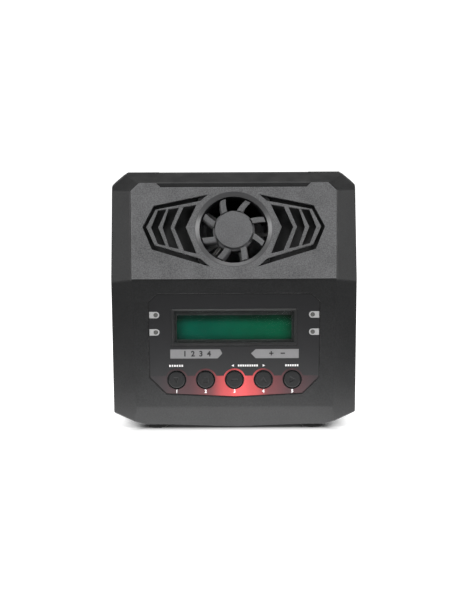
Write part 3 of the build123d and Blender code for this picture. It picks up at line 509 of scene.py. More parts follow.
@dataclass(frozen=True)
class Wound(Finish):
    """Enamelled copper wire, wound side by side."""

    colour: Colour
    wire_mm: float = 0.7
    shadow: float = 0.35
    waves_per_metre: float = 0.314

    def inputs(self, graph: Graph) -> dict[str, object]:
        """Dark gaps between bright turns."""
        where = graph.place()[0]
        pitch = self.waves_per_metre / (self.wire_mm * MM)
        turns = graph.add("ShaderNodeTexWave", Vector=where, Scale=pitch, Distortion=0.4).outputs["Fac"]
        return {
            "Base Color": graph.blend(turns, scaled(self.colour, self.shadow), self.colour),
            "Roughness": graph.spread(graph.noise(where, 1.5), 0.3, 0.7, (0.25, 0.42)),
            "Normal": bump(graph, turns, 0.25),
            "Metallic": 0.85,
            "Coat Weight": 0.5,
        }


@dataclass(frozen=True)
class Film(Finish):
    """Printed polyester film with a satin face."""

    colour: Colour
    roughness: float = 0.42
    fleck: float = 0.05
    gloss_swing: float = 0.1

    def inputs(self, graph: Graph) -> dict[str, object]:
        """Faintly flecked colour."""
        grain = Effects.place(graph, "moulded_grain", Size=0.25, Fleck=self.fleck).outputs
        return {
            "Base Color": graph.tinted(self.colour, grain["Shade"]),
            "Roughness": graph.around(grain["Height"], self.roughness, self.gloss_swing),
            "Normal": bump(graph, grain["Height"], 0.006),
        }


@dataclass(frozen=True)
class FadingInk(Finish):
    """Ink that is brightest near the middle of the face and fades to the sides."""

    stops: tuple[tuple[float, Colour], ...]
    top_mm: float = 30.2
    reach_mm: float = 4.2
    middle_mm: float = 3.0
    half_width_mm: float = 48.0

    def inputs(self, graph: Graph) -> dict[str, object]:
        """Colour that follows the stops, weaker in the bows over the buttons."""
        where, x, _, z = graph.place()
        apart = graph.math("ABSOLUTE", graph.minus(x, self.middle_mm * MM))
        ramp = graph.add("ShaderNodeValToRGB", Fac=graph.math("DIVIDE", apart, self.half_width_mm * MM))
        bands = ramp.color_ramp
        bands.interpolation = "EASE"
        while len(bands.elements) < len(self.stops):
            bands.elements.new(0.5)
        for element, (share, colour) in zip(bands.elements, self.stops):
            element.position = share
            element.color = (*colour, 1.0)
        rise = graph.minus(z, self.top_mm * MM)
        weaker = graph.spread(rise, 0.0, self.reach_mm * MM, (1.0, 0.62))
        dots = graph.spread(graph.noise(where, 0.3), 0.3, 0.7, (0.95, 1.05))
        return {
            "Base Color": graph.tinted(graph.tinted(ramp.outputs["Color"], weaker), dots),
            "Roughness": graph.spread(dots, 0.9, 1.1, (0.38, 0.46)),
        }


@dataclass(frozen=True)
class ClearPanel(Finish):
    """Clear plastic panel with faint haze, which casts no shadow."""

    tint: Colour
    index: float = 1.49

    def inputs(self, graph: Graph) -> dict[str, object]:
        """Clear plastic with smears."""
        where = graph.place()[0]
        smears = graph.spread(graph.noise(where, 6.0, 3.0), 0.3, 0.8)
        return {
            "Base Color": graph.blend(smears, self.tint, scaled(self.tint, 1.04)),
            "Roughness": graph.spread(graph.noise(where, 14.0, 4.0), 0.3, 0.8, (0.02, 0.07)),
            "IOR": self.index,
            "Transmission Weight": 1.0,
        }

    def build(self) -> Material:
        """Make the material, and let shadow rays through."""
        material = super().build()
        graph = Graph(material.node_tree)
        nodes = graph.tree.nodes
        choose = nodes.new("ShaderNodeMixShader")
        clear = graph.add("ShaderNodeBsdfTransparent", Color=(*self.tint, 1.0))
        shadow = nodes.new("ShaderNodeLightPath").outputs["Is Shadow Ray"]
        parts = (shadow, nodes["Principled BSDF"].outputs[0], clear.outputs[0])
        for socket, value in zip(choose.inputs, parts):
            graph.feed(socket, value)
        graph.feed(nodes["Material Output"].inputs["Surface"], choose.outputs[0])
        return material


@dataclass(frozen=True)
class LiquidCrystal(Finish):
    """Unlit character display: a tinted field with painted shade from the frame at its edges, and two rows
    of faint cells.
    """

    left: Colour
    right: Colour
    middle: Point2 = (0.0, 57.3)
    cell: Point2 = (3.55, 5.95)
    columns: int = 16
    rows: int = 2
    cell_tone: Colour = (0.0, 0.02, 0.02)
    cell_share: float = 0.07
    # painted shade cast by the frame round the display, strongest at the top
    painted_top_shade: float = 0.22
    painted_bottom_shade: float = 0.6
    painted_end_shade: float = 0.55

    def cells(self, graph: Graph, x: NodeSocket, z: NodeSocket) -> NodeSocket:
        """Mask of the character cells.

        Args:
            graph: The material's graph.
            x: Place across the face.
            z: Place up the face.

        Returns:
            One inside a cell and nought between the cells and round them.
        """
        masks = []
        for value, centre, pitch, count, share in (
            (x, self.middle[0], self.cell[0], self.columns, 0.42),
            (z, self.middle[1], self.cell[1], self.rows, 0.45),
        ):
            start = centre - pitch * count / 2.0
            place = graph.math("DIVIDE", graph.minus(value, start * MM), pitch * MM)
            offset = graph.math("ABSOLUTE", graph.minus(graph.math("FRACT", place), 0.5))
            masks.append(graph.spread(offset, share, share - 0.02))
            masks.append(graph.math("GREATER_THAN", place, 0.0))
            masks.append(graph.math("LESS_THAN", place, float(count)))
        return graph.times(*masks)

    def inputs(self, graph: Graph) -> dict[str, object]:
        """Tinted field with its cells, with painted shade towards the frame."""
        where, x, _, z = graph.place()
        tint = graph.blend(graph.spread(x, -32.0 * MM, 32.0 * MM), self.left, self.right)
        celled = graph.blend(graph.times(self.cells(graph, x, z), self.cell_share), tint, self.cell_tone)
        clouds = graph.spread(graph.noise(where, 18.0), 0.3, 0.7, (0.93, 1.07))
        rise = graph.minus(z, self.middle[1] * MM)
        # painted shade from the frame: darker at the top, the bottom and both ends
        above = graph.spread(rise, 1.2 * MM, 6.0 * MM, (1.0, self.painted_top_shade))
        below = graph.spread(rise, -7.0 * MM, -3.0 * MM, (self.painted_bottom_shade, 1.0))
        ends = graph.spread(graph.math("ABSOLUTE", x), 25.0 * MM, 32.5 * MM, (1.0, self.painted_end_shade))
        return {
            "Base Color": graph.tinted(celled, graph.times(above, below, ends, clouds)),
            "Roughness": graph.spread(clouds, 0.9, 1.1, (0.28, 0.36)),
            "Specular IOR Level": 0.02,
        }


FOOT_RUBBER = Moulded(
    "foot_rubber", (0.006, 0.006, 0.006), roughness=0.85, grain=0.4, wear=0.1, dust=0.05, specular=0.1
)
ROTOR_GREY = Moulded(
    "rotor_plastic", (0.145, 0.146, 0.15), roughness=0.5, fleck=0.18, worn=(0.22, 0.22, 0.22), wear=0.25
)
RED_FADE = FadingInk(
    "red_fade",
    (
        (0.0, (0.66, 0.075, 0.08)),
        (0.16, (0.46, 0.055, 0.058)),
        (0.36, (0.12, 0.027, 0.031)),
        (0.62, (0.055, 0.02, 0.024)),
        (1.0, (0.022, 0.019, 0.021)),
    ),
)
GREY_INK = Film("grey_ink", (0.21, 0.209, 0.212), roughness=0.5)
WHITE_INK = Film("white_ink", (0.82, 0.81, 0.81), roughness=0.5)
TAG_INK = Film("tag_ink", (0.4, 0.4, 0.4), roughness=0.5)
DARK_INK = Film("dark_ink", (0.012, 0.012, 0.013), roughness=0.5)
# painted light: a pale sheet standing in for the light that the dark fan struts catch
STRUT_PAINTED_LIGHT = Film("strut_film", (0.26, 0.26, 0.26), roughness=0.7)
RIM_INK = Film("rim_ink", (0.003, 0.003, 0.003), roughness=0.55)

SLOT_FINISHES: tuple[Finish, ...] = (
    FOOT_RUBBER,
    ROTOR_GREY,
    Moulded("case_plastic", (0.0235, 0.0237, 0.0242), roughness=0.38, specular=0.26, fleck=0.16),
    RingedPanel("panel_plastic", (0.146, 0.147, 0.15), fleck=0.3, worn=(0.24, 0.24, 0.245), wear=0.35),
    Film("label_film", (0.016, 0.016, 0.0172), roughness=0.4),
    Moulded(
        "button_plastic", (0.016, 0.0163, 0.0167), roughness=0.4, specular=0.25, grain=0.3, depth=0.008,
        worn=(0.2, 0.2, 0.2),
    ),
    Moulded("switch_black", (0.012, 0.012, 0.012), wear=0.1),
    Moulded("plunger_plastic", (0.03, 0.03, 0.03), roughness=0.4, wear=0.1),
    Moulded("fan_plastic", (0.011, 0.011, 0.012), roughness=0.55, wear=0.2),
    Moulded("magnet_ferrite", (0.03, 0.03, 0.032), roughness=0.6, fleck=0.25, wear=0.4),
    Moulded("wire_insulation", (0.42, 0.41, 0.4), roughness=0.45, grain=0.2, wear=0.0),
    Moulded("socket_ivory", (0.72, 0.69, 0.6), roughness=0.42, fleck=0.04, worn=(0.85, 0.83, 0.76)),
    Moulded("socket_amber", (0.66, 0.36, 0.045), roughness=0.4, fleck=0.05, worn=(0.8, 0.55, 0.2)),
    Moulded("inlet_black", (0.014, 0.014, 0.015), roughness=0.38, grain=0.3, depth=0.008),
    Moulded("capacitor_sleeve", (0.012, 0.018, 0.07), roughness=0.3, fleck=0.03, wear=0.1),
    Moulded("fuse_ceramic", (0.72, 0.7, 0.63), roughness=0.3, fleck=0.03, worn=(0.8, 0.8, 0.75)),
    Moulded("chip_epoxy", (0.013, 0.013, 0.014), roughness=0.6, wear=0.2),
    Moulded("led_resin", (0.12, 0.12, 0.115), roughness=0.22, fleck=0.02, wear=0.0, grain=2.0),
    Moulded("backlight_white", (0.6, 0.66, 0.6), roughness=0.35, fleck=0.02, wear=0.0),
    Moulded("bezel_black", (0.017, 0.018, 0.018), roughness=0.45, grain=0.3, depth=0.006),
    Metal("screw_steel", (0.5, 0.5, 0.52), 0.32, Cut.TURNED),
    Metal("polished_steel", (0.66, 0.66, 0.68), 0.25, Cut.TURNED),
    Metal("bearing_bronze", (0.5, 0.32, 0.14), 0.4, Cut.TURNED),
    Metal("contact_gold", (0.83, 0.6, 0.24), 0.22),
    Metal("pin_nickel", (0.7, 0.69, 0.66), 0.22, Cut.DRAWN),
    Metal("sink_aluminium", (0.6, 0.61, 0.63), 0.38, Cut.DRAWN),
    Board("board_green", (0.02, 0.1, 0.045), (0.05, 0.2, 0.07)),
    Wound("copper_winding", (0.6, 0.25, 0.1)),
    ClearPanel("window_clear", (0.93, 0.96, 0.95)),
    LiquidCrystal("display_green", (0.0004, 0.085, 0.055), (0.002, 0.094, 0.044)),
)


@dataclass
class Paintbox:
    """Builds each finish once and hands out its material."""

    made: dict[str, Material] = field(default_factory=dict)

    def get(self, finish: Finish) -> Material:
        """The material of a finish, built at its first use."""
        if finish.name not in self.made:
            self.made[finish.name] = finish.build()
        return self.made[finish.name]


# ---- Meshes ----


def link(name: str, data: ID | None) -> Object:
    """Make an object from its data and put it in the scene."""
    made = bpy.data.objects.new(name, data)
    bpy.context.scene.collection.objects.link(made)
    return made


def link_piece(name: str, mesh: Mesh, material: Material | None = None) -> Object:
    """Make an object at the origin from a finished mesh.

    Args:
        name: The piece's name.
        mesh: Its mesh, in place.
        material: Its only material, if it has none yet.

    Returns:
        The new object.
    """
    mesh.name = name
    if material is not None:
        mesh.materials.clear()
        mesh.materials.append(material)
    return link(name, mesh)


def seat(piece: Object, body: Body, replaced: str | None = None) -> Object:
    """Let a piece ride on its body, and hide the frame node that it stands for.

    Args:
        piece: The finished piece.
        body: The body it rides on.
        replaced: Frame node that it stands for, if any.

    Returns:
        The same piece.
    """
    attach(piece, body.value)
    if replaced:
        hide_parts(replaced)
    LOG.info("piece %s on %s, %d faces", piece.name, body.value, len(piece.data.polygons))
    return piece


def lathe(profile: Profile, steps: int = 96) -> Mesh:
    """Turn a profile of radius and height, in millimetres, about the Z axis.

    Args:
        profile: Points from one end on the axis to the other, radius first.
        steps: Divisions of the full turn.

    Returns:
        A closed mesh in metres.
    """
    shape = bmesh.new()
    points = [shape.verts.new((radius * MM, 0.0, height * MM)) for radius, height in profile]
    edges = [shape.edges.new(pair) for pair in zip(points, points[1:])]
    bmesh.ops.spin(
        shape, geom=points + edges, cent=(0, 0, 0), axis=(0, 0, 1), angle=math.tau, steps=steps,
        use_merge=True,
    )
    bmesh.ops.remove_doubles(shape, verts=shape.verts, dist=1e-7)
    bmesh.ops.recalc_face_normals(shape, faces=shape.faces)
    mesh = filled_mesh("turned", shape)
    smooth_by_angle(mesh, 28.0)
    return mesh


def smooth_by_angle(mesh: Mesh, degrees: float) -> None:
    """Shade smooth, with sharp edges where faces meet at more than an angle."""
    mesh.polygons.foreach_set("use_smooth", [True] * len(mesh.polygons))
    mesh.set_sharp_from_angle(angle=math.radians(degrees))


def evaluated_mesh(piece: Object) -> Mesh:
    """A plain copy of an object's mesh with its modifiers applied."""
    graph = bpy.context.evaluated_depsgraph_get()
    return bpy.data.meshes.new_from_object(piece.evaluated_get(graph))


def discard(piece: Object) -> None:
    """Remove a helper object and its data."""
    data = piece.data
    bpy.data.objects.remove(piece)
    if isinstance(data, Mesh) and not data.users:
        bpy.data.meshes.remove(data)


def curve_mesh(curve: Curve) -> Mesh:
    """The mesh of a curve or a text."""
    helper = link(curve.name, curve)
    mesh = evaluated_mesh(helper)
    bpy.data.objects.remove(helper)
    return mesh


def filled_mesh(name: str, shape: bmesh.types.BMesh) -> Mesh:
    """A new mesh from a finished shape, which is freed."""
    mesh = bpy.data.meshes.new(name)
    shape.to_mesh(mesh)
    shape.free()
    return mesh


def flat_shape(loops: Sequence[Profile], thickness: float) -> Mesh:
    """Fill closed outlines, holes included, and give them a thickness.

    Args:
        loops: Outlines in millimetres, the outer one first.
        thickness: Thickness in millimetres.

    Returns:
        A closed mesh in metres, in the XY plane.
    """
    curve = bpy.data.curves.new("outline", "CURVE")
    curve.dimensions = "2D"
    curve.fill_mode = "BOTH"
    curve.extrude = thickness * MM / 2.0
    for loop in loops:
        spline = curve.splines.new("POLY")
        spline.points.add(len(loop) - 1)
        for point, (across, up) in zip(spline.points, loop):
            point.co = (across * MM, up * MM, 0.0, 1.0)
        spline.use_cyclic_u = True
    return curve_mesh(curve)


def arc(centre: Point2, radius: float, start: float, end: float, steps: int = 24) -> list[Point2]:
    """Points along an arc.

    Args:
        centre: The arc's centre.
        radius: Its radius.
        start: Start angle in degrees.
        end: End angle in degrees.
        steps: Divisions.

    Returns:
        The points, both ends included.
    """
    turns = [math.radians(start + (end - start) * i / steps) for i in range(steps + 1)]
    return [(centre[0] + radius * math.cos(t), centre[1] + radius * math.sin(t)) for t in turns]


def circle(centre: Point2, radius: float, steps: int = 48) -> list[Point2]:
    """Points of a full circle, the last one left out."""
    return arc(centre, radius, 0.0, 360.0, steps)[:-1]


def on_display(depth_mm: float) -> Matrix:
    """Place for flat shapes parallel to the display: x stays, y goes up, z comes out."""
    return Matrix.Translation((0.0, (FRONT_Y + depth_mm) * MM, 0.0)) @ Matrix.Rotation(math.pi / 2, 4, "X")


def on_fan_axis() -> Matrix:
    """Place with its origin where the fan's axis meets the fan face, z along the axis."""
    outward = Vector((0.0, -math.cos(FACE_LEAN), math.sin(FACE_LEAN)))
    upward = Vector((0.0, math.sin(FACE_LEAN), math.cos(FACE_LEAN)))
    origin = Vector((0.0, FRONT_Y, RIDGE_Z)) * MM + upward * FAN_HEIGHT * MM
    place = Matrix((Vector((1.0, 0.0, 0.0)), upward, outward)).transposed().to_4x4()
    return Matrix.Translation(origin) @ place


# ---- Geometry Nodes ----


class ArrayTree:
    """A Geometry Nodes tree that repeats a piece and ends in a plain mesh."""

    def __init__(self, name: str, counts: Sequence[str], sizes: Sequence[str]) -> None:
        """Make the tree with its named inputs.

        Args:
            name: The tree's name.
            counts: Names of its whole-number inputs.
            sizes: Names of its other number inputs.
        """
        self.tree = bpy.data.node_groups.new(name, "GeometryNodeTree")
        kinds = {"Geometry": "Geometry", "Piece": "Object", "Finish": "Material"}
        kinds |= dict.fromkeys(counts, "Int") | dict.fromkeys(sizes, "Float")
        for label, kind in kinds.items():
            self.tree.interface.new_socket(label, in_out="INPUT", socket_type=f"NodeSocket{kind}")
        self.tree.interface.new_socket("Geometry", in_out="OUTPUT", socket_type="NodeSocketGeometry")
        self.graph = Graph(self.tree)
        self.given = self.tree.nodes.new("NodeGroupInput")

    def close(self, count: object, x: NodeSocket, y: NodeSocket, turn: NodeSocket | None = None) -> None:
        """Put the piece on points in the XY plane, and finish the tree.

        Args:
            count: How many points.
            x: Their places across, by index.
            y: Their places along, by index.
            turn: Turn of each copy.
        """
        graph, given = self.graph, self.given.outputs
        points = graph.add("GeometryNodePoints", Count=count).outputs[0]
        spot = graph.add("ShaderNodeCombineXYZ", X=x, Y=y).outputs[0]
        placed = graph.add("GeometryNodeSetPosition", Geometry=points, Position=spot).outputs[0]
        info = graph.add("GeometryNodeObjectInfo", Object=given["Piece"]).outputs["Geometry"]
        copies = graph.add("GeometryNodeInstanceOnPoints", Points=placed, Instance=info)
        if turn is not None:
            graph.feed(copies.inputs["Rotation"], turn)
        real = graph.add("GeometryNodeRealizeInstances", Geometry=copies.outputs[0]).outputs[0]
        finish = graph.add("GeometryNodeSetMaterial", Geometry=real, Material=given["Finish"])
        graph.feed(graph.add("NodeGroupOutput").inputs["Geometry"], finish.outputs[0])

    def bake(self, name: str, piece: Object, finish: Material, **sizes: float) -> Mesh:
        """Run the tree and return its result as a plain mesh.

        Args:
            name: Name of the mesh.
            piece: The object to repeat; it is removed afterwards.
            finish: Material of the result.
            **sizes: Values of the tree's other inputs, spaces as underscores.

        Returns:
            The baked mesh.
        """
        host = link(name, bpy.data.meshes.new(name))
        modifier = host.modifiers.new("repeat", "NODES")
        modifier.node_group = self.tree
        values = {"Piece": piece, "Finish": finish}
        values.update({key.replace("_", " "): value for key, value in sizes.items()})
        for item in self.tree.interface.items_tree:
            if item.item_type == "SOCKET" and item.in_out == "INPUT" and item.name in values:
                modifier[item.identifier] = values[item.name]
        mesh = evaluated_mesh(host)
        host.modifiers.remove(modifier)
        discard(host)
        discard(piece)
        return mesh


def ring_tree() -> ArrayTree:
    """Tree that repeats a piece round the Z axis, from a start angle.

    Returns:
        The finished tree.
    """
    made = ArrayTree("ring_of_pieces", ("Count",), ("Radius", "Start"))
    graph, given = made.graph, made.given.outputs
    index = graph.add("GeometryNodeInputIndex").outputs[0]
    step = graph.math("DIVIDE", math.tau, given["Count"])
    angle = graph.math("ADD", graph.times(index, step), given["Start"])
    across, along = (graph.times(graph.math(part, angle), given["Radius"]) for part in ("COSINE", "SINE"))
    made.close(given["Count"], across, along, graph.add("ShaderNodeCombineXYZ", Z=angle).outputs[0])
    return made


def grid_tree() -> ArrayTree:
    """Tree that repeats a piece on a flat grid round the origin.

    Returns:
        The finished tree.
    """
    made = ArrayTree("grid_of_pieces", ("Columns", "Rows"), ("Column Pitch", "Row Pitch"))
    graph, given = made.graph, made.given.outputs
    index = graph.add("GeometryNodeInputIndex").outputs[0]
    row = graph.math("FLOOR", graph.math("DIVIDE", index, given["Columns"]))
    column = graph.minus(index, graph.times(row, given["Columns"]))
    across, along = (
        graph.times(graph.minus(number, graph.times(graph.minus(given[count], 1.0), 0.5)), given[pitch])
        for number, count, pitch in ((column, "Columns", "Column Pitch"), (row, "Rows", "Row Pitch"))
    )
    made.close(graph.times(given["Columns"], given["Rows"]), across, along)
    return made


# ---- Sub-assemblies ----


@dataclass
class Shop:
    """What every sub-assembly needs: the frame, the finishes and the two array trees."""

    nodes: dict[str, Object]
    finishes: dict[str, Finish]
    paints: Paintbox = field(default_factory=Paintbox)
    ring: ArrayTree = field(default_factory=ring_tree)
    grid: ArrayTree = field(default_factory=grid_tree)

    def dress(self, *names: str) -> None:
        """Give kept frame nodes the finishes of their slots."""
        for name in names:
            mesh = self.nodes[name].data
            mesh.materials.clear()
            mesh.materials.append(self.paints.get(self.finishes[name]))


@dataclass
class ControlFace:
    """Printed label: grey bars, lamp tags, fading red field and generic signs."""

    shop: Shop
    bar_low: float = 40.15
    bar_high: float = 45.3
    tag_height: float = 3.65
    lamp_x: float = 44.0
    lamp_rows: tuple[float, float] = (64.9, 55.1)
    edge_x: float = 47.75
    hole_radius: float = 5.5
    ring_radius: float = 6.4
    red_top: float = 30.2
    mark_z: float = 36.0
    arrow_half: float = 0.7
    dash_width: float = 0.85
    dash_half: float = 0.55
    dash_pitch: float = 1.3
    number_z: float = 21.3
    number_size: float = 1.9
    bar_text_z: float = 42.7
    letter_scale: float = 1.38
    stroke_growth: float = 0.045

    def press(self, name: str, mesh: Mesh, finish: Finish, level: int) -> Object:
        """Lay a flat mesh on the label as one layer of ink.

        Args:
            name: The piece's name.
            mesh: The mesh, in the XY plane.
            finish: The ink.
            level: How many inks lie below and with it.

        Returns:
            The printed piece.
        """
        mesh.transform(on_display(LABEL_SKIN - INK * (level - 0.5)))
        return seat(link_piece(name, mesh, self.shop.paints.get(finish)), Body.CHARGER)

    def ink(self, name: str, loops: Sequence[Profile], finish: Finish, level: int = 1) -> Object:
        """Print a flat shape on the label.

        Args:
            name: The piece's name.
            loops: Outlines in millimetres.
            finish: The ink.
            level: How many inks lie below and with it.

        Returns:
            The printed piece.
        """
        return self.press(name, flat_shape(loops, INK), finish, level)

    def bars(self) -> None:
        """Grey bars on both sides of the middle, each with one pointed end."""
        low, high = self.bar_low, self.bar_high
        tip = (low + high) / 2.0 + 0.2
        left = [(-35.95, low), (-9.4, low), (-6.8, tip), (-8.0, high), (-35.95, high)]
        right = [(36.2, high), (12.0, high), (9.4, tip), (12.0, low), (36.2, low)]
        self.ink("left_bar", [left], GREY_INK)
        self.ink("right_bar", [right], GREY_INK)

    def rim(self) -> None:
        """Thin dark line round the whole label, from the right halves of its two outlines."""
        outer = [(0.0, 76.75), (43.25, 76.75), (48.15, 72.15), (47.65, 29.25), (38.35, 19.85), (0.0, 18.05)]
        inner = [(0.0, 76.3), (43.05, 76.3), (47.7, 71.95), (47.2, 29.4), (38.15, 20.3), (0.0, 18.5)]
        loops = [loop + [(-x, z) for x, z in loop[-2:0:-1]] for loop in (outer, inner)]
        self.ink("label_rim", loops, RIM_INK)

    def tags(self) -> None:
        """Lamp tags: square at the label's edge, round at the lamp."""
        half = self.tag_height / 2.0
        for side in (-1.0, 1.0):
            for number, height in enumerate(self.lamp_rows, start=1):
                centre = (self.lamp_x - 0.25, height)
                tag = [(self.edge_x, height + half)] + arc(centre, half, 90.0, 270.0)
                tag.append((self.edge_x, height - half))
                hole = circle((self.lamp_x, height), 1.25, 24)
                loops = [[(side * x, z) for x, z in loop] for loop in (tag, hole)]
                name = f"lamp_tag_{'left' if side < 0 else 'right'}_{number}"
                self.ink(name, loops, TAG_INK)

    def red_field(self) -> None:
        """Red field under the buttons, with a bow over each of them."""
        reach = math.degrees(math.asin((self.red_top - BUTTON_Z) / self.ring_radius))
        outline: list[Point2] = [(-47.5, self.red_top)]
        holes = []
        for number in range(-2, 3):
            centre = (number * BUTTON_PITCH, BUTTON_Z)
            outline += arc(centre, self.ring_radius, 180.0 - reach, reach)
            holes.append(circle(centre, self.hole_radius))
        corners = [(47.5, self.red_top), (47.45, 29.3), (38.3, 20.0), (0.0, 18.2)]
        outline += corners + [(-x, z) for x, z in corners[2:0:-1]]
        self.ink("red_field", [outline, *holes], RED_FADE)

    def text(self, name: str, words: str, size: float, spot: Point2, finish: Finish, level: int) -> Object:
        """Print numbers or signs.

        Args:
            name: The piece's name.
            words: What to print.
            size: Letter height in millimetres.
            spot: Middle of the print.
            finish: The ink.
            level: Which layer of ink it is.

        Returns:
            The printed piece.
        """
        curve = bpy.data.curves.new(name, "FONT")
        curve.body = words
        curve.align_x = "CENTER"
        curve.align_y = "CENTER"
        curve.size = size * self.letter_scale * MM
        curve.extrude = INK * MM / 2.0
        curve.offset = size * self.stroke_growth * MM
        curve.resolution_u = 4
        mesh = curve_mesh(curve)
        mesh.transform(Matrix.Translation((spot[0] * MM, spot[1] * MM, 0.0)))
        return self.press(name, mesh, finish, level)

    def signs(self) -> None:
        """Plain numbers under the buttons and simple signs over them."""
        for number in range(5):
            spot = ((number - 2) * BUTTON_PITCH, self.number_z)
            self.text(f"number_{number + 1}", str(number + 1), self.number_size, spot, WHITE_INK, 2)
        half, middle = self.arrow_half, self.mark_z
        for name, x, turn in (("left", -1.0, -half), ("right", 16.6, half)):
            arrow = [(x - turn, middle + half), (x - turn, middle - half), (x + turn, middle)]
            self.ink(f"arrow_{name}", [arrow], WHITE_INK)
        low_z, high_z = self.mark_z - self.dash_half, self.mark_z + self.dash_half
        for name, low, high in (("channel", -36.6, -28.4), ("status", 2.0, 13.6), ("enter", 28.6, 36.4)):
            count = round((high - low) / self.dash_pitch)
            starts = [low + place * (high - low) / count for place in range(count)]
            ends = [(x, x + self.dash_width) for x in starts]
            dashes = [[(x, low_z), (end, low_z), (end, high_z), (x, high_z)] for x, end in ends]
            self.ink(f"{name}_marks", dashes, WHITE_INK)
        self.text("channel_count", "1  2  3  4", 3.1, (-21.0, self.bar_text_z), DARK_INK, 2)
        self.text("polarity", "+   −", 3.3, (24.0, self.bar_text_z), DARK_INK, 2)

    def build(self) -> None:
        """Make the whole face."""
        self.shop.dress("front_label")
        self.rim()
        self.bars()
        self.tags()
        self.red_field()
        self.signs()
        self.shop.dress("status_leds")


@dataclass
class Display:
    """Character display behind its clear window."""

    shop: Shop

    def build(self) -> None:
        """Dress the module's parts."""
        self.shop.dress("lcd_window", "lcd_bezel", "lcd_glass", "lcd_backlight", "lcd_board")


@dataclass
class Buttons:
    """Five caps with their plungers."""

    shop: Shop

    def build(self) -> None:
        """Dress the caps and the plungers."""
        for body in BUTTON_BODIES:
            name = body.removeprefix("key_")
            self.shop.dress(f"button_{name}", f"plunger_{name}")


